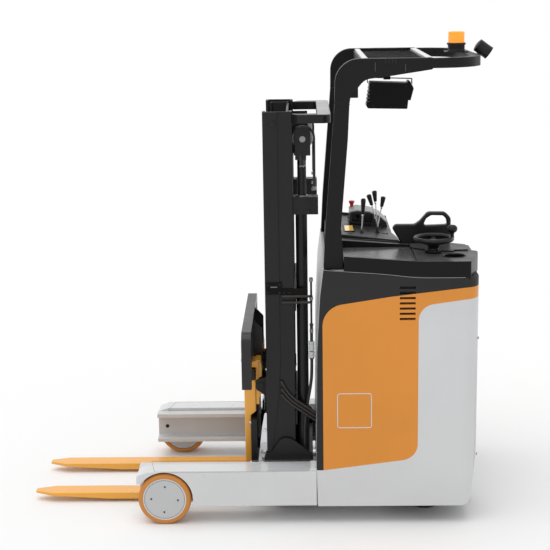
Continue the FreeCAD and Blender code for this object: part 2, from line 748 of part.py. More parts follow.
def build_caster():
    """The swivel caster with its twin wheels under the operator bay."""
    x = FRONT - size("caster_reach")
    y = -size("caster_offset")
    wheel_x = x - size("caster_trail")
    radius = size("caster_radius")
    half_gap = size("caster_gap") / 2
    outer = half_gap + size("caster_width")
    top = size("floor_height") - 18.3
    head = cylinder("Head", "Z", (x, y), 40, radius + 102, top)
    arm = new_body("Arm")
    slab(arm, "XZ", [
        (x + 30, radius + 102), (x + 30, radius + 92), (wheel_x + 18, radius - 16, 12),
        (wheel_x - 18, radius - 16, 12), (wheel_x - 30, radius + 102),
    ], y - half_gap + 4, y + half_gap - 4)
    axle = cylinder("Axle", "Y", (wheel_x, radius), 12, y - outer + 4, y + outer - 4)
    keep(fuse("CasterFork", [head, arm, axle]), "caster_fork")
    wheels = []
    for side in (LEFT, RIGHT):
        wheel = new_body("CasterWheel")
        low, high = low_high(half_gap * side, outer * side)
        revolve(wheel, [(12.05, low), (radius, low, 8), (radius, high, 8), (12.05, high)])
        wheels.append(place(wheel, wheel_x, y, radius))
    keep(gather("Twins", wheels), "caster_wheels")


# ---------------------------------------------------------------- overhead guard

def build_pillar(side):
    """A front pillar of the overhead guard, from the console up to the roof's seam."""
    body = new_body("Pillar")
    outer = size("guard_half_width")
    seam = size("pillar_seam")
    slab(body, "XZ", [
        (FRONT - 41, size("pillar_foot") + 0.3), (FRONT - 51, 1428), (FRONT - 83, 1835),
        (FRONT - 96, seam), (FRONT - 163, seam), (FRONT - 155, 1835), (FRONT - 122, 1427),
        (FRONT - 132, size("console_top") + 28), (FRONT - 132, size("pillar_foot") + 0.3),
    ], *span(side, outer - size("pillar_width"), outer))
    return body


def build_guard_side(side):
    """The roof's bent side beam, from the pillar's seam back to the rear bow."""
    body = new_body("Beam")
    top = size("guard_top")
    seam = size("pillar_seam")
    outer = size("guard_half_width")
    slab(body, "XZ", [
        (FRONT - 96, seam), (FRONT - size("guard_nose"), top, size("guard_bend")),
        (FRONT - 534, top), (FRONT - 534, 2145, 5), (FRONT - 348, 2118, 300),
        (FRONT - 232, 2104, 60), (FRONT - 168, 2030, 50), (FRONT - 163, seam),
    ], *span(side, outer - size("guard_depth"), outer))
    return body


def build_rear_bow():
    """The rounded rear frame of the roof, a bow in plan."""
    body = new_body("Bow")
    outer = size("guard_half_width")
    depth = size("guard_depth")
    back = FRONT - size("guard_length") - 34
    slab(body, "XY", [
        (FRONT - 534, outer), (FRONT - 690, outer - 14, 200), (back, outer - 170, 160),
        (back, -outer + 170, 160), (FRONT - 690, -outer + 14, 200), (FRONT - 534, -outer),
        (FRONT - 534, -outer + depth), (FRONT - 676, -outer + depth + 10, 150),
        (back + depth, -outer + 190, 120), (back + depth, outer - 190, 120),
        (FRONT - 676, outer - depth - 10, 150), (FRONT - 534, outer - depth),
    ], size("bow_top") - 44, size("bow_top"))
    return body


def build_roof_bars():
    """The roof's cross bars and the slats that run between them."""
    inner = size("guard_half_width") - size("guard_depth")
    bars = []
    for reach, width in ((228, 26), (521, 34)):
        bars.append(box("CrossBar", (FRONT - reach - width / 2, FRONT - reach + width / 2),
                        (-inner, inner), (2156, 2186)))
    rows = 9
    for i in range(rows):
        y = inner * (2 * (i + 1) / (rows + 1) - 1)
        bars.append(box("Slat", (FRONT - 521, FRONT - 228), (y - 8, y + 8), (2156, 2184)))
    return bars


def build_beacon():
    """The warning beacon on its plate and black base."""
    x = FRONT - size("beacon_reach")
    bottom = size("bow_top") + 5.3
    plate = box("BeaconPlate", (FRONT - 774 + 24, FRONT - 640), (-46, 46), (bottom - 5, bottom))
    radius = size("beacon_radius")
    base_top = bottom + size("beacon_base")
    base = doc.addObject("Part::Cone", "BeaconBase")
    base.Radius1 = 44
    bind(base, "Radius2", radius)
    bind(base, "Height", size("beacon_base"))
    place(base, x, 0, bottom)
    keep(fuse("BeaconSet", [plate, base]), "beacon_base")
    lens = new_body("Lens")
    revolve(lens, [
        (0, 0), (radius - 2, 0), (radius - 4, size("beacon_lens"), 14), (0, size("beacon_lens")),
    ])
    place(lens, x, 0, base_top, Rotation(Vector(1, 0, 0), 90))
    keep(lens, "beacon_lens")


def build_rear_lamp():
    """The small floor-spot lamp on its stalk behind the roof, tipped down to the rear."""
    radius, length, tip = size("lamp_radius"), size("lamp_length"), 140
    lean, drop = math.sin(math.radians(tip)), -math.cos(math.radians(tip))
    x = FRONT - size("lamp_overhang") + length * lean + radius * drop
    lamp = doc.addObject("Part::Cylinder", "Lamp")
    bind(lamp, "Radius", radius)
    bind(lamp, "Height", length)
    place(lamp, x, 0, size("lamp_height"), Rotation(Vector(0, 1, 0), -tip))
    bow_back = FRONT - size("guard_length") - 34
    stalk = box("Stalk", (x - 20, bow_back - 0.3), (-9, 9), (2176, 2188))
    return keep(fuse("LampSet", [lamp, stalk]), "rear_lamp")


def build_work_light():
    """The work light that hangs under the roof on its bracket."""
    left, right = FRONT - 479, FRONT - 261
    body = new_body("Light")
    slab(body, "XZ", [
        (left + 6, 1950, 10), (right - 20, 1930, 10), (right - 6, 2046, 14), (left + 4, 2046, 14),
    ], -70, 70)
    yoke_top = box("YokeTop", (left, right), (-20, 20), (2062, 2068))
    yoke_a = box("YokeA", (left, left + 5), (-20, 20), (1990, 2068))
    yoke_b = box("YokeB", (right - 5, right), (-20, 20), (1990, 2068))
    stem = box("Stem", (FRONT - 400, FRONT - 350), (-20, 20), (2068, 2156))
    pivot = cylinder("Pivot", "X", (0, 2000), 10, left, right)
    return keep(fuse("LightSet", [body, yoke_top, yoke_a, yoke_b, stem, pivot]), "work_light")


def build_steering_wheel():
    """The small horizontal steering wheel with its spinner knob."""
    radius, rim = size("helm_radius"), size("helm_rim")
    ring = doc.addObject("Part::Torus", "Ring")
    bind(ring, "Radius1", radius)
    bind(ring, "Radius2", rim)
    place(ring, 0, 0, 0)
    disc_plate = doc.addObject("Part::Cone", "Dish")
    disc_plate.Radius1 = 30
    bind(disc_plate, "Radius2", radius - 4)
    disc_plate.Height = 14
    place(disc_plate, 0, 0, -18)
    column = cylinder("Column", "Z", (0, 0), 26, size("console_top") - size("helm_height") - 15.7,
                      as_size(-16))
    stem = cylinder("KnobStem", "Z", (-radius + 8, 0), 9, 0, 40)
    knob = doc.addObject("Part::Sphere", "Knob")
    knob.Radius = 17
    place(knob, -radius + 8, 0, 50)
    whole = fuse("Helm", [ring, disc_plate, column, stem, knob])
    place(whole, FRONT - size("helm_reach"), size("helm_offset"), size("helm_height"))
    return keep(whole, "steering_wheel")


# ---------------------------------------------------------------- reach carriage and mast

MAST_FRONT = FRONT + size("mast_front")
MAST_BACK = MAST_FRONT - size("mast_depth")
INNER_FRONT = MAST_FRONT - size("outer_wall") - size("mast_gap")
INNER_BACK = MAST_BACK + size("outer_wall") + size("mast_gap")
ROLLER_X = (INNER_FRONT + INNER_BACK) / 2


def build_cradle():
    """The reach carriage: two side plates with wheel humps and the members between them."""
    low, high = size("cradle_bottom"), size("cradle_top")
    back, front = FRONT + size("cradle_back"), FRONT + size("cradle_front")
    hump = FRONT + size("hump_reach")
    plates = []
    for side in (LEFT, RIGHT):
        plate = new_body("SidePlate")
        slab(plate, "XZ", [
            (back, low), (front - 20, low, 20), (front, high - 35), (front - 8, high, 5),
            (hump + 62, high, 20), (hump + 10, size("hump_top"), 40),
            (hump - 40, size("hump_top") - 8, 60), (back + 6, high), (back, high - 8),
        ], *span(side, size("mast_half_width") + 0, size("cradle_half_width")))
        plates.append(plate)
    width = size("mast_half_width")
    sole = box("Sole", (back, MAST_FRONT), (-width, width), (size("mast_bottom") - 26,
                                                            size("mast_bottom")))
    feet = []
    for side in (LEFT, RIGHT):
        feet.append(box("Foot", (back, MAST_FRONT), span(side, width, size("cradle_half_width")),
                        (size("mast_bottom") - 26, low + 6)))
    back_beam = box("BackBeam", (back, back + 40), (-262, 262), (size("mast_bottom"), low + 120))
    return keep(fuse("Cradle", [*plates, sole, *feet, back_beam]), "reach_carriage")


def build_reach_rollers():
    """The four rollers that carry the reach carriage in the channels, with their pins."""
    rollers = []
    for side in (LEFT, RIGHT):
        for reach in ("front_roller_reach", "rear_roller_reach"):
            centre = (FRONT + size(reach), size("reach_roller_height"))
            plate = size("cradle_half_width")
            wheel = cylinder("Roller", "Y", centre, size("reach_roller_radius"),
                             *span(side, plate + 10, plate + 56))
            pin = cylinder("Pin", "Y", centre, 20, *span(side, plate, plate + 60))
            rollers.append(fuse("RollerSet", [wheel, pin]))
    return rollers


def build_reach_cylinder():
    """The reach cylinder under the battery and its rod, tied to the reach carriage."""
    height = 160
    barrel_front = FRONT - 24
    barrel_back = FRONT - 660
    tube = cylinder("Tube", "X", (0, height), 32, barrel_back, barrel_front)
    bore = cylinder("Bore", "X", (0, height), 19, barrel_back + 20, barrel_front + 5)
    foot = box("Foot", (barrel_back, barrel_back + 40), (-30, 30),
               (size("leg_bottom") + size("plate"), height - 20))
    front_foot = box("FrontFoot", (barrel_front - 60, barrel_front - 20), (-30, 30),
                     (size("leg_bottom") + size("plate"), height - 20))
    keep(cut("BarrelCut", fuse("BarrelSet", [tube, foot, front_foot]), bore), "reach_cylinder")
    rod = cylinder("Rod", "X", (0, height), 18, barrel_front - 600, FRONT + size("cradle_back"))
    return keep(rod, "reach_rod")


def build_outer_mast(side):
    """An outer mast rail: a channel open to the middle, its rear half stepped in."""
    body = new_body("Outer")
    outer = size("mast_half_width")
    inner = outer - size("outer_flange")
    wall = size("outer_wall")
    step = size("cheek_step")
    middle = MAST_BACK + size("mast_depth") / 2
    slab(body, "XY", [
        (MAST_BACK, inner * side), (MAST_BACK, (outer - step) * side, 3),
        (middle, (outer - step) * side), (middle, outer * side), (MAST_FRONT, outer * side, 4),
        (MAST_FRONT, inner * side), (MAST_FRONT - wall, inner * side),
        (MAST_FRONT - wall, (outer - wall) * side, 6), (MAST_BACK + wall, (outer - wall) * side, 6),
        (MAST_BACK + wall, inner * side),
    ], size("mast_bottom"), size("mast_top"))
    return keep(body, f"mast_outer_{SIDE_NAMES[side]}")


def build_mast_ties():
    """The outer mast's rear ties and the bow round its top."""
    half = size("mast_half_width")
    back = FRONT - 81
    outer, inner = size("bow_half_width"), size("bow_half_width") - 68
    bow = new_body("TopBow")
    slab(bow, "XY", [
        (MAST_BACK, half - 8), (MAST_BACK - 30, outer, 20), (back, outer, 40), (back, -outer, 40),
        (MAST_BACK - 30, -outer, 20), (MAST_BACK, -half + 8),
        (MAST_BACK, -inner), (back + 63, -inner, 14), (back + 63, inner, 14), (MAST_BACK, inner),
    ], 1898, 1938)
    middle = box("MiddleTie", (MAST_BACK - 10, MAST_BACK), (-half + 8, half - 8), (1000, 1090))
    lower = box("LowerTie", (MAST_BACK - 10, MAST_BACK), (-half + 8, half - 8), (430, 500))
    return keep(gather("Ties", [bow, middle, lower]), "mast_ties")


def build_mast_rollers():
    """The guide rollers between outer and inner mast: one pair at each rail's end."""
    top, bottom = [], []
    inner = size("inner_half_width")
    web = inner - 20
    for side in (LEFT, RIGHT):
        top.append(cylinder("TopRoller", "Y", (ROLLER_X, 1896), 35,
                            *span(side, web + 2, size("mast_half_width") - size("outer_wall"))))
        bottom_z = size("mast_bottom") + 62
        wheel = cylinder("FootRoller", "Y", (ROLLER_X, bottom_z), 53,
                         *span(side, web + 4, inner + 6))
        arm = box("Arm", (ROLLER_X - 40, ROLLER_X + 40), span(side, web - 10, web + 4),
                  (bottom_z - 40, size("inner_bottom")))
        bottom.append(fuse("FootSet", [wheel, arm]))
    return top, bottom


def build_inner_mast(side):
    """An inner mast rail of I section."""
    body = new_body("Inner")
    outer = size("inner_half_width")
    inner = outer - size("inner_flange")
    wall = size("inner_wall")
    web_out, web_in = outer - 20, outer - 30
    slab(body, "XY", [
        (INNER_BACK, inner * side), (INNER_BACK, outer * side), (INNER_BACK + wall, outer * side),
        (INNER_BACK + wall, web_out * side), (INNER_FRONT - wall, web_out * side),
        (INNER_FRONT - wall, outer * side), (INNER_FRONT, outer * side), (INNER_FRONT, inner * side),
        (INNER_FRONT - wall, inner * side), (INNER_FRONT - wall, web_in * side),
        (INNER_BACK + wall, web_in * side), (INNER_BACK + wall, inner * side),
    ], size("inner_bottom"), size("inner_top"))
    return keep(body, f"mast_inner_{SIDE_NAMES[side]}")


def build_inner_head():
    """The inner mast's cross ties and the crosshead that its two cylinder rods push."""
    inner = size("inner_half_width") - size("inner_flange")
    back = INNER_BACK
    top_tie = box("TopTie", (back, back + 10), (-inner, inner), (1840, 1936))
    low_tie = box("LowTie", (back, back + 10), (-inner, inner), (240, 320))
    arms = []
    pin = (FRONT + size("sheave_reach"), size("sheave_height"))
    low, middle = size("rod_top"), size("sheave_offset")
    back_edge, edge = FRONT + 26, FRONT + 88
    for side in (LEFT, RIGHT):
        arms.append(box("Arm", (back_edge, back + 10), span(side, middle - 34, middle - 26),
                        (low, low + 158)))
        arms.append(box("Yoke", (back_edge, FRONT + 92), span(side, middle - 34, 317),
                        (low, low + 14)))
        arms.append(box("Cheek", (back_edge, edge), span(side, middle + 24, middle + 32),
                        (low, low + 108)))
        arms.append(cylinder("SheavePin", "Y", pin, 10, *span(side, middle - 36, middle + 36)))
        arms.append(box("Gusset", (back, back + 10), span(side, middle - 34, middle + 8),
                        (low, low + 108)))
    return keep(fuse("Head", [top_tie, low_tie, *arms]), "inner_mast_head")


def build_sheaves():
    """The chain and hose sheaves at the head of the inner mast."""
    sheaves = []
    for side in (LEFT, RIGHT):
        sheave = new_body("Sheave")
        radius = size("sheave_radius")
        revolve(sheave, [
            (10.05, -20), (radius, -20), (radius, -15), (radius - 8, -10), (radius - 8, 10),
            (radius, 15), (radius, 20), (10.05, 20),
        ])
        place(sheave, FRONT + size("sheave_reach"), size("sheave_offset") * side,
              size("sheave_height"))
        sheaves.append(sheave)
    return sheaves


def build_lift_cylinders():
    """The two lift cylinders behind the mast rails, and their rods."""
    barrels, rods = [], []
    x = FRONT + size("barrel_reach")
    for side in (LEFT, RIGHT):
        y = size("barrel_offset") * side
        tube = cylinder("Tube", "Z", (x, y), size("barrel_radius"), size("barrel_bottom"),
                        size("barrel_top"))
        bore = cylinder("Bore", "Z", (x, y), size("rod_radius") + 1, size("barrel_bottom") + 20,
                        size("barrel_top") + 5)
        foot = box("Foot", (x - 30, x + 30), (y - 26, y + 26),
                   (size("mast_bottom"), size("barrel_bottom") + 2))
        clamp = box("Clamp", (FRONT - 20, MAST_BACK), span(side, 262, 340), (1465, 1548))
        barrels.append(cut("Barrel", fuse("BarrelSet", [tube, foot, clamp]), bore))
        rods.append(cylinder("Rod", "Z", (x, y), size("rod_radius"), size("barrel_bottom") + 26,
                             size("rod_top")))
    keep(gather("Barrels", barrels), "lift_cylinders")
    return keep(gather("Rods", rods), "lift_rods")


# ---------------------------------------------------------------- lift carriage, fork frame, forks

TILT_FOOT = (FRONT + size("tilt_foot_reach"), size("tilt_foot_height"))
TILT_HEAD = (FRONT + size("tilt_head_reach"), size("tilt_head_height"))


def build_lift_carriage():
    """The carriage that climbs the inner mast: two roller plates and their cross beams."""
    outer = size("carriage_half_width")
    inner = outer - size("carriage_plate")
    pin = (FRONT + size("tilt_pin_reach"), size("tilt_pin_height"))
    plates = []
    for side in (LEFT, RIGHT):
        plate = new_body("CarriagePlate")
        slab(plate, "XZ", [
            (INNER_BACK + 21, 200), (FRONT + 248, 200), (FRONT + 248, pin[1] - 50, 30),
            (pin[0] + 24, pin[1] - 20, 16), (pin[0] + 24, pin[1] + 24, 16),
            (FRONT + 240, pin[1] + 40, 20), (INNER_BACK + 21, pin[1] + 20, 30),
        ], *span(side, inner, outer))
        plates.append(plate)
    low_beam = box("LowBeam", (MAST_FRONT - 60, FRONT + 243), (-inner, inner), (200, 240))
    shaft = cylinder("Shaft", "Y", pin, size("tilt_pin_radius"), -outer - 6, outer + 6)
    lugs = tilt_lugs("Head", TILT_HEAD, 24, 16)
    lug_beam = box("LugBeam", (MAST_FRONT - 30, TILT_HEAD[0] - 21), (-inner, inner), (480, 540))
    rollers = []
    for side in (LEFT, RIGHT):
        for height in (250, 520):
            rollers.append(cylinder("Roller", "Y", (ROLLER_X, height),
                                    size("carriage_roller_radius"), *span(side, outer, outer + 20)))
    return keep(fuse("Carriage", [*plates, low_beam, shaft, *lugs, lug_beam, *rollers]),
                "lift_carriage")


def build_fork_frame():
    """The tilting fork frame: hanger plates round the tilt shaft and two fork bars."""
    pin = (FRONT + size("tilt_pin_reach"), size("tilt_pin_height"))
    inner, outer = size("hanger_half_width") - size("hanger_plate"), size("hanger_half_width")
    half = size("fork_bar_half_width")
    plates = []
    for side in (LEFT, RIGHT):
        plate = new_body("Hanger")
        slab(plate, "XZ", [
            (FRONT + 288, 190), (FRONT + 318, 190), (FRONT + 318, 700, 10),
            (FRONT + 290, 700, 12), (pin[0] - 24, pin[1] + 30, 20),
            (pin[0] - 24, pin[1] - 24, 20), (FRONT + 288, pin[1] - 60, 20),
        ], *span(side, inner, outer))
        cut_disc(plate, "XZ", *pin, size("tilt_pin_radius") + 0.06,
                 *span(side, inner - 5, outer + 5))
        plates.append(plate)
    low_bar = box("LowBar", (FRONT + 288, FRONT + 318), (-half, half), (190, 440))
    top_bar = box("TopBar", (FRONT + 297, FRONT + 318), (-half, half), (642, 690))
    lugs = tilt_lugs("Foot", TILT_FOOT, 16, 24)
    return keep(fuse("ForkFrame", [*plates, low_bar, top_bar, *lugs]), "fork_frame")


def build_tilt_cylinder():
    """The short tilt cylinder from the fork frame's foot up to the lift carriage."""
    rise = TILT_HEAD[1] - TILT_FOOT[1]
    run = TILT_HEAD[0] - TILT_FOOT[0]
    length = math.hypot(run.value, rise.value)
    lean = Rotation(Vector(0, 1, 0), math.degrees(math.atan2(run.value, rise.value)))
    pin, rod_radius = size("tilt_eye_pin"), size("tilt_rod_radius")
    barrel = cylinder("TiltBarrel", "Z", (0, 0), 17, 12, length * 0.62)
    eye = cylinder("Eye", "Y", (0, 0), pin + 8, -20, 20)
    eye_hole = cylinder("EyeHole", "Y", (0, 0), pin + 0.05, -25, 25)
    bore = cylinder("Bore", "Z", (0, 0), rod_radius + 0.05, 36, length)
    tube = cut("TiltTube", fuse("TiltSet", [barrel, eye]), fuse("TiltTools", [eye_hole, bore]))
    keep(place(tube, TILT_FOOT[0], 0, TILT_FOOT[1], turn=lean), "tilt_cylinder")
    shaft = cylinder("TiltShaft", "Z", (0, 0), rod_radius, 50, length - pin.value - 2)
    head = cylinder("Head", "Y", (0, length), pin + 8, -20, 20)
    head_hole = cylinder("HeadHole", "Y", (0, length), pin + 1, -25, 25)
    rod = cut("TiltRod", fuse("RodSet", [shaft, head]), head_hole)
    return keep(place(rod, TILT_FOOT[0], 0, TILT_FOOT[1], turn=lean), "tilt_rod")


def tilt_lugs(name, eye, back, ahead):
    """A pair of lugs with a pin through them, for one end of the tilt cylinder."""
    x, z = eye
    pieces = [cylinder(f"{name}Pin", "Y", eye, size("tilt_eye_pin"), -34, 34)]
    for side in (LEFT, RIGHT):
        pieces.append(box(f"{name}Lug", (x - back, x + ahead), span(side, 22, 34), (z - 18, z + 18)))
    return pieces


def build_fork(side):
    """One fork: a tapered blade, its heel and shank, and the hook over the fork bar."""
    body = new_body("Fork")
    centre = size("fork_spacing") / 2 * side
    half = size("fork_width") / 2
    front = FRONT + size("shank_front")
    thick = size("fork_thickness")
    top = size("fork_top")
    tip = FRONT + size("fork_tip_reach")
    back = front - thick + 4
    slab(body, "XZ", [
        (tip, top), (front, top, 18), (front, size("shank_top")), (back - 44, size("shank_top"), 6),
        (back - 44, 645), (back - 32, 645), (back - 32, 693), (back - 0.7, 693), (back - 0.7, 630),
        (back - 26, 630), (back - 26, 470), (back, 450), (back, top - thick, 40),
        (tip - 380, top - thick), (tip, top - 12),
    ], centre - half, centre + half)
    for sign in (1, -1):
        edge = centre + half * sign
        cut_slab(body, "XY", [
            (tip - 90, edge + 5 * sign), (tip - 90, edge), (tip, centre + 18 * sign),
            (tip + 5, centre + 18 * sign), (tip + 5, edge + 5 * sign),
        ], 0, top + 5)
    return keep(body, f"fork_{SIDE_NAMES[side]}")


def build_backrest():
    """The load backrest: a frame with rounded shoulders, upright bars and rear gussets."""
    body = new_body("Backrest")
    front = FRONT + size("backrest_front")
    back = front - size("backrest_depth")
    half = size("backrest_half_width")
    top, bottom = size("backrest_top"), size("backrest_bottom")
    bar = size("backrest_bar")
    slab(body, "YZ", [
        (-half, bottom), (-half, top, 60), (half, top, 60), (half, bottom),
        (half - bar, bottom), (half - bar, 740), (bar - half, 740), (bar - half, bottom),
    ], back, front)
    gaps = 6
    width = (half * 2 - bar) / gaps
    for i in range(gaps):
        low = -half + bar + width * i
        cut_slab(body, "YZ", rectangle(low, low + width - bar, 772, top - bar), back - 5, front + 5)
    gussets = []
    for side in (LEFT, RIGHT):
        gusset = new_body("Gusset")
        slab(gusset, "XZ", [
            (back, 905), (FRONT + 262, 860, 15), (FRONT + 262, 720, 15), (FRONT + 288, 700),
            (back, 700),
        ], *span(side, size("hanger_half_width") - 30, size("hanger_half_width") - 14))
        gussets.append(gusset)
    return keep(fuse("BackrestSet", [body, *gussets]), "load_backrest")


# ---------------------------------------------------------------- the machine

for hand in (LEFT, RIGHT):
    build_leg(hand)
    build_load_wheel(hand)
    build_outer_mast(hand)
    build_inner_mast(hand)
    build_fork(hand)
keep(gather("Channels", [build_channel(hand) for hand in (LEFT, RIGHT)]), "leg_channels")
base_frame = keep(fuse("Chassis", [*build_frame(), *build_battery_ledges(),
                                   *build_floor_pan()]), "chassis_frame")
build_left_side(base_frame)
build_right_side(base_frame)
build_battery()
build_console()
build_dash()
build_levers()
build_stop_button()
build_grab_handle()
build_bay()
build_drive_unit()
build_caster()
keep(gather("Pillars", [build_pillar(hand) for hand in (LEFT, RIGHT)]), "guard_pillars")
keep(fuse("Roof", [*[build_guard_side(hand) for hand in (LEFT, RIGHT)], build_rear_bow(),
                   *build_roof_bars()]), "guard_roof")
build_beacon()
build_rear_lamp()
build_work_light()
build_steering_wheel()
build_cradle()
build_reach_cylinder()
build_mast_ties()
top_rollers, foot_rollers = build_mast_rollers()
keep(gather("GuideRollers", [*build_reach_rollers(), *top_rollers]), "guide_rollers")
keep(gather("InnerRollers", [*foot_rollers, *build_sheaves()]), "inner_mast_rollers")
build_inner_head()
build_lift_cylinders()
build_lift_carriage()
build_fork_frame()
build_tilt_cylinder()
build_backrest()
doc.recompute()

faults = [
    f"{thing.Name} ({thing.Label}): {thing.State}"
    for thing in doc.Objects
    if "Invalid" in thing.State or "Error" in thing.State
]
for thing in doc.Objects:
    if thing.TypeId in ("PartDesign::Pocket", "PartDesign::Groove"):
        if thing.Shape.Volume >= thing.BaseFeature.Shape.Volume - 1:
            faults.append(f"{thing.Name} in {thing.getParentGeoFeatureGroup().Label} cuts nothing")
for thing in exported:
    if thing.Shape.isNull() or not thing.Shape.isValid() or not thing.Shape.Solids:
        faults.append(f"{thing.Label} has no valid solid")
if faults:
    raise RuntimeError("; ".join(faults))

os.makedirs("parts", exist_ok=True)
for thing in exported:
    thing.Shape.exportStep(f"parts/{thing.Label}.step")
    bounds = thing.Shape.BoundBox
    print(f"{thing.Label}: {len(thing.Shape.Solids)} solids, "
          f"X {bounds.XMin:.0f}..{bounds.XMax:.0f}, Y {bounds.YMin:.0f}..{bounds.YMax:.0f}, "
          f"Z {bounds.ZMin:.0f}..{bounds.ZMax:.0f}")
print(f"{len(exported)} pieces")
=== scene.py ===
"""Looks of a stand-up reach truck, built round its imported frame.

Everything is in metres: +X runs forward to the fork tips, +Y to the machine's left and +Z up
from the floor. Most places are stated as a reach, in millimetres ahead of the body's front
wall, with Y and Z in millimetres, and the function spot() turns them into metres.
"""
import sys

import json
import logging
import math
from dataclasses import dataclass
from enum import Enum
from typing import Iterable, Optional, Sequence

import bmesh
import bpy
from mathutils import Matrix, Vector


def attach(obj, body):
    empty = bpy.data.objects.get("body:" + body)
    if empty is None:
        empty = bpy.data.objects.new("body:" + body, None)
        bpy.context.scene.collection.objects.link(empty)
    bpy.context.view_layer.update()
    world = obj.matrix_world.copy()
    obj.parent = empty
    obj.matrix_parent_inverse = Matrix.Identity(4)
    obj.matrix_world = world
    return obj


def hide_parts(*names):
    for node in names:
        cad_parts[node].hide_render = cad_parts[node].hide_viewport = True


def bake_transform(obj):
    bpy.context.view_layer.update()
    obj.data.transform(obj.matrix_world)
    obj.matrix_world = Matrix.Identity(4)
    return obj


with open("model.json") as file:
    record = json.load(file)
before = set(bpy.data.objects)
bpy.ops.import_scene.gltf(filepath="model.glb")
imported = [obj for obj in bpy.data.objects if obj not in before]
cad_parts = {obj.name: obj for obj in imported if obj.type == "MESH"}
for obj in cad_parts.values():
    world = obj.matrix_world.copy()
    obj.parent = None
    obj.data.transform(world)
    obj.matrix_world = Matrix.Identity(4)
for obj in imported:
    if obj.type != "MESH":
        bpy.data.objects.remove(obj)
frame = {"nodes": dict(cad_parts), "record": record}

Item = bpy.types.Object
Socket = bpy.types.NodeSocket
Shade = tuple[int, int, int]
Pair = tuple[float, float]
Pairs = tuple[Pair, ...]
Point = tuple[float, float, float]
Window = tuple[float, float, float, float]
Row = tuple[float, ...]
Profile = Sequence[Pair]
Outline = tuple[Row, ...]
BODY_FRONT_MM = -271.0
UP: Point = (0, 0, 1)
LEFTWARD: Point = (0, 1, 0)
AHEAD: Point = (1, 0, 0)
SIDES: dict[int, str] = {1: "left", -1: "right"}
log = logging.getLogger("reach_truck")


def spot(reach: float, y: float, z: float) -> Vector:
    """Turn millimetres ahead of the body's front, left and up into the frame's metres."""
    return Vector(((reach + BODY_FRONT_MM) / 1000, y / 1000, z / 1000))


def linear(red: int, green: int, blue: int) -> Point:
    """Turn a display colour into the linear values that a shader takes.

    Args:
        red: display red, 0 to 255.
        green: display green, 0 to 255.
        blue: display blue, 0 to 255.

    Returns:
        The three linear values.
    """
    def channel(value: int) -> float:
        """One channel's linear value."""
        share = value / 255
        return share / 12.92 if share <= 0.04045 else ((share + 0.055) / 1.055) ** 2.4

    return channel(red), channel(green), channel(blue)


# ---------------------------------------------------------------- finishes

class Axis(Enum):
    """The frame's directions, as unit vectors."""

    X = Vector(AHEAD)
    Y = Vector(LEFTWARD)
    Z = Vector(UP)


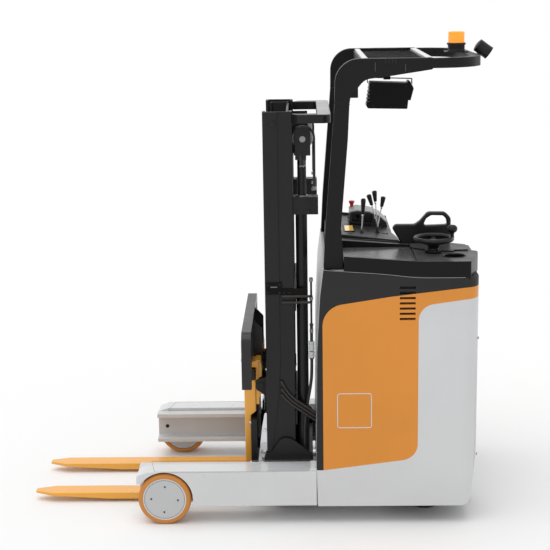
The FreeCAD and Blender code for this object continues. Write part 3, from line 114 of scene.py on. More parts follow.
class Graph:
    """A short way to wire one material's nodes."""

    def __init__(self, name: str) -> None:
        """Start an empty material with a shader and an output.

        Args:
            name: the material's name.
        """
        self.material = bpy.data.materials.new(name)
        self.material.use_nodes = True
        self.tree = self.material.node_tree
        self.tree.nodes.clear()
        self.output = self.tree.nodes.new("ShaderNodeOutputMaterial")
        self.shader = self.tree.nodes.new("ShaderNodeBsdfPrincipled")
        self.wire(self.shader.outputs[0], self.output.inputs[0])

    def node(self, kind: str, **values: object) -> bpy.types.Node:
        """Add a node and set its properties or, where no property fits, its inputs.

        Args:
            kind: Blender's name for the node's type.
            values: what is set, each named with an underscore for a space.

        Returns:
            The node.
        """
        node = self.tree.nodes.new(kind)
        for key, value in values.items():
            if hasattr(node, key):
                setattr(node, key, value)
            else:
                node.inputs[key.replace("_", " ")].default_value = value
        return node

    def fix(self, **values: object) -> None:
        """Set the shader's own inputs, each named with an underscore for a space."""
        for key, value in values.items():
            self.shader.inputs[key.replace("_", " ")].default_value = value

    def wire(self, source: Socket, target: Socket) -> None:
        """Join an output to an input."""
        self.tree.links.new(source, target)

    def place(self, stretch: Point = (1, 1, 1)) -> Socket:
        """Give the piece's own coordinates.

        Args:
            stretch: how much each axis is stretched.

        Returns:
            The coordinates.
        """
        where = self.node("ShaderNodeTexCoord")
        mapping = self.node("ShaderNodeMapping")
        mapping.inputs["Scale"].default_value = stretch
        self.wire(where.outputs["Object"], mapping.inputs["Vector"])
        return mapping.outputs["Vector"]

    def noise(self, scale: float, detail: float = 3, stretch: Point = (1, 1, 1)) -> Socket:
        """Add a noise value over the piece.

        Args:
            scale: about how many spots there are in a metre.
            detail: how many finer layers it has.
            stretch: how much each axis is stretched.

        Returns:
            The value, from 0 to 1.
        """
        texture = self.node("ShaderNodeTexNoise")
        texture.inputs["Scale"].default_value = scale
        texture.inputs["Detail"].default_value = detail
        self.wire(self.place(stretch), texture.inputs["Vector"])
        return texture.outputs["Fac"]

    def span(self, value: Socket, low: float, high: float,
             out_low: float, out_high: float) -> Socket:
        """Map a value from one range to another, clamped.

        Args:
            value: the value.
            low: where its range starts.
            high: where its range ends.
            out_low: where the new range starts.
            out_high: where the new range ends.

        Returns:
            The mapped value.
        """
        node = self.node("ShaderNodeMapRange")
        for name, number in (("From Min", low), ("From Max", high),
                             ("To Min", out_low), ("To Max", out_high)):
            node.inputs[name].default_value = number
        self.wire(value, node.inputs["Value"])
        return node.outputs["Result"]

    def blend(self, share: Socket, first: object, second: object) -> Socket:
        """Mix two colours, each a socket or three linear values.

        Args:
            share: the second colour's share.
            first: the first colour.
            second: the second colour.

        Returns:
            The mixed colour.
        """
        node = self.node("ShaderNodeMix", data_type="RGBA")
        self.wire(share, node.inputs["Factor"])
        for socket, colour in ((node.inputs["A"], first), (node.inputs["B"], second)):
            colour_input = [s for s in node.inputs if s.name == socket.name
                            and s.type == "RGBA"][0]
            if isinstance(colour, Socket):
                self.wire(colour, colour_input)
            else:
                colour_input.default_value = (*colour, 1)
        return [s for s in node.outputs if s.type == "RGBA"][0]

    def bump(self, height: Socket, depth: float, strength: float = 1.0) -> None:
        """Raise the surface by a height value.

        Args:
            height: the value, from 0 to 1.
            depth: how many metres it raises the surface at 1.
            strength: how strongly it shows.
        """
        node = self.node("ShaderNodeBump")
        node.inputs["Strength"].default_value = strength
        node.inputs["Distance"].default_value = depth
        self.wire(height, node.inputs["Height"])
        previous = self.shader.inputs["Normal"]
        if previous.is_linked:
            self.wire(previous.links[0].from_socket, node.inputs["Normal"])
        self.wire(node.outputs["Normal"], previous)

    def edge_share(self, width: float) -> Socket:
        """Find the edges, convex and concave.

        Args:
            width: how far an edge reaches, in metres.

        Returns:
            A value near 1 on edges and 0 on flats.
        """
        bevel = self.node("ShaderNodeBevel", samples=4)
        bevel.inputs["Radius"].default_value = width
        here = self.node("ShaderNodeNewGeometry")
        dot = self.node("ShaderNodeVectorMath", operation="DOT_PRODUCT")
        self.wire(bevel.outputs["Normal"], dot.inputs[0])
        self.wire(here.outputs["Normal"], dot.inputs[1])
        return self.span(dot.outputs["Value"], 0.995, 0.80, 0.0, 1.0)


@dataclass(frozen=True)
class Finish:
    """What every finish has: a name, a display colour, a roughness and a mirror level."""

    name: str
    colour: Shade
    roughness: float = 0.5
    mirror: float = 0.5

    def graph(self) -> Graph:
        """Start the material with its base colour slightly uneven over the surface.

        Returns:
            The material's wiring so far.
        """
        graph = Graph(f"{self.name}_finish")
        graph.fix(Specular_IOR_Level=self.mirror)
        shade = linear(*self.colour)
        deeper = tuple(c * 0.93 for c in shade)
        uneven = graph.span(graph.noise(2.3, 4), 0.35, 0.7, 0.0, 1.0)
        graph.wire(graph.blend(uneven, shade, deeper), graph.shader.inputs["Base Color"])
        return graph

    def material(self) -> bpy.types.Material:
        """The finished material, made once and then reused."""
        return bpy.data.materials.get(f"{self.name}_finish") or self.make().material

    def make(self) -> Graph:
        """Wire the whole material. Each kind of finish does this its own way.

        Returns:
            The material's wiring.
        """
        graph = self.graph()
        graph.fix(Roughness=self.roughness)
        return graph


@dataclass(frozen=True)
class Paint(Finish):
    """Sprayed paint: a clear coat, a faint orange peel and slightly worn edges."""

    coat: float = 0.3
    coat_roughness: float = 0.12
    peel: float = 0.00004
    worn: Shade = (120, 120, 122)
    wear: float = 0.25

    def make(self) -> Graph:
        """Wire the coat, the peel, the dusty patches in the roughness and the edge wear.

        Returns:
            The material's wiring.
        """
        graph = self.graph()
        shader = graph.shader
        base = shader.inputs["Base Color"].links[0].from_socket
        chips = graph.span(graph.noise(95, 5), 0.52, 0.68, 0.0, self.wear)
        edges = graph.node("ShaderNodeMath", operation="MULTIPLY")
        graph.wire(graph.edge_share(0.0035), edges.inputs[0])
        graph.wire(chips, edges.inputs[1])
        graph.wire(graph.blend(edges.outputs[0], base, linear(*self.worn)),
                   shader.inputs["Base Color"])
        graph.wire(graph.span(graph.noise(7, 6), 0.3, 0.75, self.roughness * 0.85,
                              self.roughness * 1.25), shader.inputs["Roughness"])
        graph.fix(Coat_Weight=self.coat, Coat_Roughness=self.coat_roughness)
        graph.bump(graph.noise(420, 2), self.peel)
        return graph


@dataclass(frozen=True)
class Moulding(Finish):
    """Moulded plastic with a fine grain and, where it has any, a painted highlight that lightens
    its upward faces.
    """

    grain: float = 900
    depth: float = 0.00012
    upward_light: float = 0.0

    def make(self) -> Graph:
        """Wire the grain, an uneven gloss and the painted highlight on upward faces.

        Returns:
            The material's wiring.
        """
        graph = self.graph()
        graph.wire(graph.span(graph.noise(11, 5), 0.3, 0.7, self.roughness * 0.85,
                              self.roughness * 1.15), graph.shader.inputs["Roughness"])
        # Painted highlight: faces that point up are blended towards a lighter grey, so tops read
        # lighter than sides.
        if self.upward_light:
            base = graph.shader.inputs["Base Color"].links[0].from_socket
            here = graph.node("ShaderNodeNewGeometry")
            parts = graph.node("ShaderNodeSeparateXYZ")
            graph.wire(here.outputs["Normal"], parts.inputs[0])
            facing_up = graph.span(parts.outputs["Z"], 0.6, 0.98, 0.0, 1.0)
            graph.wire(graph.blend(facing_up, base, (self.upward_light,) * 3),
                       graph.shader.inputs["Base Color"])
        grain = graph.node("ShaderNodeTexVoronoi", feature="SMOOTH_F1")
        grain.inputs["Scale"].default_value = self.grain
        graph.wire(graph.place(), grain.inputs["Vector"])
        graph.bump(grain.outputs["Distance"], self.depth, 0.6)
        return graph


@dataclass(frozen=True)
class BareMetal(Finish):
    """Bare or plated metal, with fine lines along one axis."""

    along: Axis = Axis.X
    lines: float = 240
    depth: float = 0.00002

    def make(self) -> Graph:
        """Wire the lines into the gloss and the surface.

        Returns:
            The material's wiring.
        """
        graph = self.graph()
        stretch = tuple(0.02 if part else 1.0 for part in self.along.value)
        lines = graph.noise(self.lines, 4, stretch)
        graph.fix(Metallic=1.0)
        graph.wire(graph.span(lines, 0.3, 0.7, self.roughness * 0.7, self.roughness * 1.3),
                   graph.shader.inputs["Roughness"])
        graph.bump(lines, self.depth)
        return graph


@dataclass(frozen=True)
class Rubber(Finish):
    """Rubber or polyurethane: even colour, soft sheen, scuffed a little by rolling."""

    scuff: float = 60

    def make(self) -> Graph:
        """Wire scuffs into the gloss and a very shallow grain.

        Returns:
            The material's wiring.
        """
        graph = self.graph()
        scuffs = graph.noise(self.scuff, 8, (1, 0.2, 1))
        graph.wire(graph.span(scuffs, 0.35, 0.7, self.roughness * 0.8, self.roughness * 1.2),
                   graph.shader.inputs["Roughness"])
        graph.bump(graph.noise(650, 3), 0.00006)
        return graph


@dataclass(frozen=True)
class Glow(Finish):
    """Coloured clear plastic that lets its light through, such as a lamp's lens."""

    light: float = 0.6

    def make(self) -> Graph:
        """Wire a bright body colour, a faint glow and the lens's moulded ribs.

        Returns:
            The material's wiring.
        """
        graph = self.graph()
        graph.fix(Roughness=self.roughness, Emission_Color=(*linear(*self.colour), 1),
                  Emission_Strength=self.light, Coat_Weight=0.6, Coat_Roughness=0.08)
        graph.bump(graph.noise(60, 1, (1, 1, 4)), 0.0002)
        return graph


class Finishes:
    """Every finish of the truck."""

    ORANGE = Paint("orange_enamel", (217, 137, 38), 0.34, 0.4, coat=0.25,
                   worn=(150, 96, 40), wear=0.2)
    ORANGE_STEEL = Paint("orange_fork_enamel", (236, 166, 48), 0.3, 0.5, coat=0.45,
                         worn=(112, 104, 98), wear=0.55)
    LIGHT_GREY = Paint("light_grey_enamel", (206, 207, 208), 0.42, 0.35, coat=0.12,
                       worn=(150, 150, 150), wear=0.15)
    WHITE = Paint("white_enamel", (208, 209, 210), 0.3, 0.5, coat=0.6, coat_roughness=0.05,
                  worn=(150, 150, 150), wear=0.3)
    BARS = Paint("roof_bar_enamel", (216, 217, 218), 0.35, 0.4, coat=0.3, wear=0.1)
    CHARCOAL = Paint("charcoal_enamel", (24, 24, 25), 0.45, 0.13, coat=0.06,
                     worn=(92, 92, 94), wear=0.3)
    BAND = Paint("upper_band_enamel", (37, 37, 38), 0.45, 0.2, coat=0.08,
                 worn=(96, 96, 98), wear=0.25)
    MAST = Paint("mast_enamel", (24, 24, 25), 0.42, 0.22, coat=0.12,
                 worn=(105, 103, 100), wear=0.45)
    STEEL = BareMetal("bright_steel", (196, 194, 191), 0.22)
    CHROME = BareMetal("hard_chrome", (215, 215, 218), 0.12, along=Axis.Z)
    ZINC = BareMetal("zinc_plate", (176, 176, 174), 0.36, along=Axis.Z, lines=420)
    CAST = Moulding("grey_casting", (84, 84, 86), 0.6, grain=500, depth=0.0003)
    HUB = Paint("hub_enamel", (190, 191, 192), 0.4, 0.4, coat=0.15, worn=(140, 140, 140))
    TYRE_ORANGE = Rubber("orange_polyurethane", (199, 130, 56), 0.4, 0.4)
    TYRE_DARK = Rubber("dark_polyurethane", (38, 38, 40), 0.6, 0.3)
    # These two mouldings have a painted highlight that lightens their upward faces.
    GREY_MOULDING = Moulding("grey_moulding", (21, 21, 22), 0.34, 0.13, upward_light=0.06)
    LIGHT_MOULDING = Moulding("light_moulding", (44, 44, 45), 0.34, 0.3, upward_light=0.022)
    LAMP_BLACK = Moulding("lamp_moulding", (12, 12, 13), 0.3, 0.1)
    # Lighter than the deck to paint the sheen on the tray floor; its low roughness is real gloss.
    TRAY_SHEEN = Moulding("tray_sheen_moulding", (84, 84, 85), 0.22, 0.5)
    # Chrome with its colour darkened to paint the dark surroundings it reflects.
    SHADED_CHROME = BareMetal("chrome_painted_dark", (62, 62, 64), 0.2)
    PALE_MOULDING = Moulding("pale_moulding", (158, 159, 160), 0.4, 0.4)
    BLACK_MOULDING = Moulding("black_moulding", (18, 18, 19), 0.36, 0.3)
    BLACK_GLASS = Moulding("black_glass", (8, 8, 9), 0.06, 0.5, grain=40, depth=0.00001)
    AMBER = Glow("amber_lens", (255, 150, 14), 0.3, light=0.5)
    DISPLAY = Glow("amber_display", (240, 190, 60), 0.2, light=0.25)
    CLEAR = Moulding("clear_lens", (196, 198, 202), 0.1, 0.6, grain=160, depth=0.0004)
    RED = Moulding("red_button", (190, 26, 28), 0.3, grain=1500, depth=0.00003)
    RUBBER = Rubber("black_rubber", (24, 23, 22), 0.5, 0.3)
    HOSE = Rubber("hydraulic_hose", (33, 27, 23), 0.42, 0.5)
    CHAIN = BareMetal("oiled_chain", (70, 66, 60), 0.42)
    BRIGHT_FITTING = Moulding("pale_sleeve", (202, 203, 205), 0.25, 0.6, depth=0.00004)
    # Pale line colour for painted highlights: the console's edge bead and the mast bow's top.
    HIGHLIGHT_LINE = Paint("painted_highlight_line", (150, 150, 150), 0.4, 0.3, wear=0.1)
    MARK = Paint("mark_enamel", (112, 112, 113), 0.4, 0.3, wear=0.1)
    BACKREST = Paint("backrest_enamel", (27, 27, 28), 0.4, 0.25, coat=0.3, coat_roughness=0.2,
                     worn=(120, 118, 115), wear=0.5)
    POD = Moulding("pod_moulding", (40, 40, 41), 0.36, 0.3)
    BATTERY = Paint("battery_enamel", (52, 54, 57), 0.5, 0.3, coat=0.05)


SLOT_FINISH: dict[str, Finish] = dict(
    orange_paint=Finishes.ORANGE, light_grey_paint=Finishes.LIGHT_GREY,
    white_paint=Finishes.WHITE, charcoal_paint=Finishes.CHARCOAL, mast_paint=Finishes.MAST,
    bright_steel=Finishes.STEEL, chrome_rod=Finishes.CHROME, cast_grey=Finishes.CAST,
    hub_enamel=Finishes.HUB, orange_polyurethane=Finishes.TYRE_ORANGE,
    dark_tyre=Finishes.TYRE_DARK, grey_moulding=Finishes.GREY_MOULDING,
    light_moulding=Finishes.LIGHT_MOULDING, black_moulding=Finishes.BLACK_MOULDING,
    amber_lens=Finishes.AMBER, red_button=Finishes.RED, black_rubber=Finishes.RUBBER,
    battery_paint=Finishes.BATTERY)


# ---------------------------------------------------------------- meshes

class Join(Enum):
    """How a tool's solid works on a piece."""

    CUT = "DIFFERENCE"
    KEEP = "INTERSECT"


def body_of(node: str) -> str:
    """Find the body that a CAD node belongs to.

    Args:
        node: the node's name.

    Returns:
        The body's name.
    """
    for body, nodes in frame["record"]["behaviour"]["bodies"].items():
        if node in nodes:
            return body
    raise KeyError(node)


def slot_of(node: str) -> str:
    """Find the record's material slot of a CAD node.

    Args:
        node: the node's name.

    Returns:
        The slot's name.
    """
    for row in frame["record"]["subparts"]:
        if row["node"] == node:
            return row["material_slot"]
    raise KeyError(node)


def add_object(name: str, data: bpy.types.ID) -> Item:
    """Put data into a new object of the scene.

    Args:
        name: the object's name.
        data: its mesh, curve, lamp or camera.

    Returns:
        The object.
    """
    item = bpy.data.objects.new(name, data)
    bpy.context.scene.collection.objects.link(item)
    return item


def settle(piece: Item) -> Item:
    """Apply a piece's modifiers, so its mesh is final.

    Args:
        piece: the object whose modifiers are applied.

    Returns:
        The same object.
    """
    bpy.context.view_layer.update()
    graph = bpy.context.evaluated_depsgraph_get()
    final = bpy.data.meshes.new_from_object(piece.evaluated_get(graph),
                                            preserve_all_data_layers=True, depsgraph=graph)
    piece.modifiers.clear()
    piece.data = final
    return piece


def carve(piece: Item, tool: Item, way: Join, tangled: bool = False) -> None:
    """Add the modifier that works a tool's solid into a piece.

    Args:
        piece: the piece.
        tool: the tool's object.
        way: what the tool does.
        tangled: whether the piece may have solids that run into each other.
    """
    rule = piece.modifiers.new("carve", "BOOLEAN")
    rule.operation = way.value
    rule.solver = "EXACT"
    rule.use_self = tangled
    rule.object = tool


def roll_edges(piece: Item, width: float, segments: int, angle: float,
               miter: str = "MITER_SHARP") -> Item:
    """Roll a piece's edges and apply its modifiers.

    Args:
        piece: the piece.
        width: the width of the rolled edge, in metres.
        segments: how many flats make up the rolled edge.
        angle: edges sharper than this many degrees are rolled.
        miter: how rolled edges meet at an outer corner.

    Returns:
        The same piece.
    """
    roll = piece.modifiers.new("roll", "BEVEL")
    roll.width = width
    roll.segments = segments
    roll.limit_method = "ANGLE"
    roll.angle_limit = math.radians(angle)
    roll.use_clamp_overlap = True
    roll.miter_outer = miter
    piece.modifiers.new("normals", "WEIGHTED_NORMAL").keep_sharp = True
    return settle(piece)


def soften(node: str, width: float = 0.0015, segments: int = 2, finish: Optional[Finish] = None,
           openings: Optional[Item] = None, merge: bool = True) -> Item:
    """Build a piece like a CAD node but with rolled edges, and let it stand for the node.

    Args:
        node: the CAD node's name.
        width: the width of the rolled edge, in metres.
        segments: how many flats make up the rolled edge.
        finish: its finish, where the slot's usual one doesn't suit.
        openings: a solid that is cut out of the piece first.
        merge: whether faces that lie flush become one.

    Returns:
        The new piece, riding on the node's body and dressed by its slot.
    """
    source = frame["nodes"][node].data
    shape = bmesh.new()
    corners = [shape.verts.new(v.co) for v in source.vertices]
    shape.verts.ensure_lookup_table()
    for polygon in source.polygons:
        ring = [corners[i] for i in polygon.vertices]
        if len(set(ring)) > 2 and not shape.faces.get(ring):
            shape.faces.new(ring)
    bmesh.ops.remove_doubles(shape, verts=shape.verts, dist=0.00002)
    if merge:
        bmesh.ops.dissolve_limit(shape, angle_limit=math.radians(0.6), verts=shape.verts,
                                 edges=shape.edges)
    mesh = bpy.data.meshes.new(f"{node}_shell")
    shape.to_mesh(mesh)
    shape.free()
    piece = add_object(f"{node}_shell", mesh)
    mesh.shade_smooth()
    if openings:
        carve(piece, openings, Join.CUT)
    roll_edges(piece, width, segments, 38, "MITER_ARC")
    return publish(piece, body_of(node), slot_of(node), finish, replaces=[node])


def dress_only(piece: Item, slot: str, finish: Optional[Finish] = None) -> None:
    """Give a piece the finish of the record's material slot, or the finish given instead.

    Args:
        piece: the finished piece.
        slot: the record's material slot.
        finish: its finish, where the slot's usual one doesn't suit.
    """
    piece.data.materials.clear()
    piece.data.materials.append((finish or SLOT_FINISH[slot]).material())


def publish(piece: Item, body: str, slot: str, finish: Optional[Finish] = None,
            replaces: Iterable[str] = ()) -> Item:
    """Dress a piece by its slot, set it on its body and hide the CAD nodes it stands for.

    Args:
        piece: the finished piece, in place.
        body: the CAD body it rides on.
        slot: the record's material slot.
        finish: its finish, where the slot's usual one doesn't suit.
        replaces: CAD nodes that it stands for.

    Returns:
        The same piece.
    """
    dress_only(piece, slot, finish)
    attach(piece, body)
    for node in replaces:
        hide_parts(node)
    log.info("%s rides on %s, %d faces", piece.name, body, len(piece.data.polygons))
    return piece


# ---------------------------------------------------------------- studio

@dataclass
class Studio:
    """The pale floor, the soft lights and the camera."""

    floor_radius: float = 60.0
    floor_shade: float = 0.84
    sky: float = 0.82
    sun: float = 1.25
    sun_width: float = 60.0
    sun_from: Point = (0.25, 0.1, 1.0)
    camera_place: Point = (-0.23127, 6.49947, 2.51669)
    camera_right: Point = (-0.99966794, -0.02074443, -0.01528651)
    camera_up: Point = (-0.01051946, -0.21301312, 0.97699271)
    camera_ahead: Point = (0.02352339, -0.97682909, -0.21272417)
    lens: float = 86.74

    def build(self) -> None:
        """Make the floor, world, lights and camera."""
        self.build_floor()
        self.build_world()
        self.build_sun()
        self.build_camera()

    def build_floor(self) -> None:
        """A plain round pale floor."""
        mesh = bpy.data.meshes.new("studio_floor")
        shape = bmesh.new()
        bmesh.ops.create_circle(shape, cap_ends=True, segments=96, radius=self.floor_radius)
        shape.to_mesh(mesh)
        shape.free()
        floor = add_object("studio_floor", mesh)
        graph = Graph("studio_floor")
        graph.fix(Base_Color=(*[self.floor_shade] * 3, 1), Roughness=0.85, Specular_IOR_Level=0.1)
        mesh.materials.append(graph.material)

    def build_world(self) -> None:
        """An even pale world that the camera sees as white."""
        world = bpy.data.worlds.new("studio")
        bpy.context.scene.world = world
        world.use_nodes = True
        nodes, links = world.node_tree.nodes, world.node_tree.links
        nodes.clear()
        light, view = nodes.new("ShaderNodeBackground"), nodes.new("ShaderNodeBackground")
        light.inputs["Color"].default_value = (1, 1, 1, 1)
        light.inputs["Strength"].default_value = self.sky
        view.inputs["Color"].default_value = (1, 1, 1, 1)
        view.inputs["Strength"].default_value = 1.0
        ray, mix = nodes.new("ShaderNodeLightPath"), nodes.new("ShaderNodeMixShader")
        out = nodes.new("ShaderNodeOutputWorld")
        seen = ray.outputs["Is Camera Ray"]
        for kind in ("Is Glossy Ray", "Is Transmission Ray"):
            either = nodes.new("ShaderNodeMath")
            either.operation = "MAXIMUM"
            links.new(seen, either.inputs[0])
            links.new(ray.outputs[kind], either.inputs[1])
            seen = either.outputs[0]
        links.new(seen, mix.inputs[0])
        links.new(light.outputs[0], mix.inputs[1])
        links.new(view.outputs[0], mix.inputs[2])
        links.new(mix.outputs[0], out.inputs[0])

    def build_sun(self) -> None:
        """One very wide sun, as even as a studio's ceiling of soft boxes."""
        data = bpy.data.lights.new("ceiling", "SUN")
        data.energy = self.sun
        data.angle = math.radians(self.sun_width)
        lamp = add_object("ceiling", data)
        lamp.rotation_euler = (-Vector(self.sun_from)).to_track_quat("-Z", "Y").to_euler()

    def build_camera(self) -> None:
        """The camera at the viewing angle of a catalogue picture."""
        data = bpy.data.cameras.new("camera")
        data.lens = self.lens
        data.sensor_width = 36.0
        data.clip_end = 500.0
        camera = add_object("camera", data)
        right, up = Vector(self.camera_right), Vector(self.camera_up)
        back = -Vector(self.camera_ahead)
        turn = Matrix((right, up, back)).transposed().to_4x4()
        camera.matrix_world = Matrix.Translation(self.camera_place) @ turn
        bpy.context.scene.camera = camera


# ---------------------------------------------------------------- the bench

def bolt_ring(centre: Point, radius: float, count: int, start: float = 45) -> list[Point]:
    """Spread places evenly round a circle that lies across the Y axis.

    Args:
        centre: the circle's centre, as (reach, Y, Z).
        radius: the circle's radius, in millimetres.
        count: how many places.
        start: the first place's angle, in degrees.

    Returns:
        The places, each as (reach, Y, Z).
    """
    turns = [math.radians(start + 360 * i / count) for i in range(count)]
    return [(centre[0] + radius * math.cos(turn), centre[1], centre[2] + radius * math.sin(turn))
            for turn in turns]


def rounded(outline: Sequence[Row], steps: int = 6) -> list[Pair]:
    """Round an outline's corners.

    Args:
        outline: corners as (u, v) or (u, v, radius).
        steps: how many flats make up a rounded corner.

    Returns:
        The outline's points, with an arc at each corner that has a radius.
    """
    points: list[Pair] = []
    count = len(outline)
    for i, corner in enumerate(outline):
        here = Vector(corner[:2])
        before = Vector(outline[i - 1][:2]) - here
        after = Vector(outline[(i + 1) % count][:2]) - here
        radius = corner[2] if len(corner) > 2 else 0
        turn = before.angle(after)
        if not radius or turn > math.pi - 0.01:
            points.append(tuple(here))
            continue
        reach = min(radius / math.tan(turn / 2), before.length * 0.49, after.length * 0.49)
        radius = reach * math.tan(turn / 2)
        middle = here + (before.normalized() + after.normalized()).normalized() * (
            radius / math.sin(turn / 2))
        first = here + before.normalized() * reach - middle
        last = here + after.normalized() * reach - middle
        sweep = first.angle_signed(last)
        for step in range(steps + 1):
            angle = sweep * step / steps
            points.append((middle.x + first.x * math.cos(angle) + first.y * math.sin(angle),
                           middle.y - first.x * math.sin(angle) + first.y * math.cos(angle)))
    return points


class Workpiece:
    """One piece on the bench. Solids are added to its mesh, all in reach millimetres."""

    def __init__(self, name: str) -> None:
        """Start an empty piece of that name."""
        self.name = name
        self.shape = bmesh.new()

    def skin(self, rings: Sequence[Sequence[Vector]], capped: bool = True) -> None:
        """Join rings that have the same number of points into one skin.

        Args:
            rings: the rings, from one end to the other.
            capped: whether the two ends are closed. If not, the last ring joins the first.
        """
        rows = [[self.shape.verts.new(place) for place in ring] for ring in rings]
        follow = rows[1:] if capped else [*rows[1:], rows[0]]
        for first, second in zip(rows, follow):
            for i, corner in enumerate(first):
                j = (i + 1) % len(first)
                self.shape.faces.new((corner, first[j], second[j], second[i]))
        if capped:
            self.shape.faces.new(rows[0][::-1])
            self.shape.faces.new(rows[-1])

    def prism(self, outline: Sequence[Row], low: float, high: float,
              across: Axis = Axis.Y) -> None:
        """Push an outline through from low to high.

        Args:
            outline: corners as (reach, Z) across Y, (Y, Z) across X or (reach, Y) across Z,
                each with a radius after them where the corner is rounded.
            low: where the prism starts on the axis across.
            high: where it ends.
            across: the axis that it is pushed along.
        """
        order = {Axis.X: lambda u, v, w: spot(w, u, v), Axis.Y: lambda u, v, w: spot(u, w, v),
                 Axis.Z: lambda u, v, w: spot(u, v, w)}[across]
        points = rounded(outline)
        self.skin([[order(u, v, level) for u, v in points] for level in (low, high)])

    def loose(self, ending: str = "_stock") -> Item:
        """Put the mesh so far into an object of its own.

        Args:
            ending: what the object's name adds to the piece's.

        Returns:
            The object.
        """
        bmesh.ops.recalc_face_normals(self.shape, faces=self.shape.faces)
        mesh = bpy.data.meshes.new(f"{self.name}{ending}")
        self.shape.to_mesh(mesh)
        self.shape.free()
        return add_object(mesh.name, mesh)

    def combine(self, tool: "Workpiece", way: Join) -> None:
        """Work on the piece with a tool's solid.

        Args:
            tool: the tool, which is used up.
            way: what the tool does.
        """
        stock, cutter = self.loose(), tool.loose()
        carve(stock, cutter, way, tangled=True)
        settle(stock)
        self.shape = bmesh.new()
        self.shape.from_mesh(stock.data)
        bmesh.ops.remove_doubles(self.shape, verts=self.shape.verts, dist=0.00002)
        bmesh.ops.dissolve_limit(self.shape, angle_limit=math.radians(0.5),
                                 verts=self.shape.verts, edges=self.shape.edges)
        for item in (stock, cutter):
            bpy.data.objects.remove(item)

    def block(self, low: Point, high: Point) -> None:
        """Add a block between two opposite corners."""
        self.prism([(low[0], low[2]), (high[0], low[2]), (high[0], high[2]), (low[0], high[2])],
                   low[1], high[1])

    def lathe(self, outline: Profile, centre: Point, along: Point, steps: int = 48,
              closed: bool = False) -> None:
        """Turn an outline round a line.

        Args:
            outline: (distance along the line, radius) pairs.
            centre: where the line starts, as (reach, Y, Z).
            along: the line's direction.
            steps: how many flats go round it.
            closed: whether the outline closes on itself, as a tyre's does.
        """
        line = Vector(along).normalized()
        side = line.orthogonal().normalized()
        other = line.cross(side)
        turns = [math.tau * (i + 0.5) / steps for i in range(steps)]
        rings = [[spot(*centre) + (line * distance + (side * math.cos(turn)
                                                      + other * math.sin(turn))
                                   * max(radius, 0.05)) / 1000 for turn in turns]
                 for distance, radius in outline]
        self.skin(rings, not closed)

    def rod(self, start: Point, end: Point, radius: float, tip: Optional[float] = None,
            steps: int = 24) -> None:
        """Add a round bar, which may taper.

        Args:
            start: the middle of one end, as (reach, Y, Z).
            end: the middle of the other end.
            radius: the radius at the start.
            tip: the radius at the end, where it differs.
            steps: how many flats go round it.
        """
        line = Vector(end) - Vector(start)
        self.lathe([(0, radius), (line.length, radius if tip is None else tip)], start,
                   tuple(line), steps)

    def hose(self, route: Sequence[Point], radius: float, closed: bool = False) -> None:
        """Add a round hose, pipe or bead on a smooth curve through a route's neighbourhood.

        Args:
            route: the curve's control points, as (reach, Y, Z).
            radius: the hose's radius, in millimetres.
            closed: whether the route closes on itself.
        """
        curve = bpy.data.curves.new(f"{self.name}_route", "CURVE")
        curve.dimensions = "3D"
        curve.bevel_depth = radius / 1000
        curve.bevel_resolution = 4
        curve.resolution_u = 6
        curve.use_fill_caps = True
        line = curve.splines.new("NURBS")
        line.points.add(len(route) - 1)
        for point, place in zip(line.points, route):
            point.co = (*spot(*place), 1)
        line.order_u = 3
        line.use_endpoint_u = not closed
        line.use_cyclic_u = closed
        holder = add_object(curve.name, curve)
        bpy.context.view_layer.update()
        graph = bpy.context.evaluated_depsgraph_get()
        mesh = bpy.data.meshes.new_from_object(holder.evaluated_get(graph))
        self.shape.from_mesh(mesh)
        bpy.data.objects.remove(holder)
        bpy.data.meshes.remove(mesh)
        bpy.data.curves.remove(curve)

    def frame_line(self, outline: Sequence[Point], radius: float) -> None:
        """Add a thin closed bead with crisp corners along an outline's corners."""
        for start, end in zip(outline, [*outline[1:], outline[0]]):
            self.rod(start, end, radius, steps=10)

    def screws(self, places: Iterable[Point], along: Point, across: float,
               height: float, washer: bool = True) -> None:
        """Add hexagon screws, each on its washer.

        Args:
            places: where each screw stands, as (reach, Y, Z).
            along: the way that the heads point.
            across: the head's width over its corners.
            height: how far the head stands up.
            washer: whether a washer lies under each head.
        """
        for place in places:
            base = height * 0.22 if washer else 0
            if washer:
                self.lathe([(-0.4, across * 0.66), (base, across * 0.66)], place, along, 24)
            self.lathe([(base - 0.3, across / 2), (base + height * 0.62, across / 2),
                        (base + height * 0.78, across * 0.42)], place, along, 6)

    def sockets(self, places: Iterable[Point], along: Point, radius: float,
                height: float) -> None:
        """Add round socket screws, each with the hexagon sunk in its head.

        Args:
            places: where each screw stands, as (reach, Y, Z).
            along: the way that the heads point.
            radius: the head's radius.
            height: how far the head stands up.
        """
        for place in places:
            self.lathe([(-0.4, radius), (height * 0.8, radius), (height, radius * 0.86),
                        (height, radius * 0.5), (height * 0.35, radius * 0.44)], place, along, 24)

    def piece(self, roll: float = 0.8, segments: int = 2, angle: float = 36) -> Item:
        """Take the piece off the bench with its edges rolled.

        Args:
            roll: the width of the rolled edge, in millimetres, or 0 for none.
            segments: how many flats make up the rolled edge.
            angle: edges sharper than this many degrees are rolled.

        Returns:
            The finished object.
        """
        item = self.loose("")
        item.data.shade_smooth()
        if roll:
            return roll_edges(item, roll / 1000, segments, angle)
        item.data.set_sharp_from_angle(angle=math.radians(angle))
        return item


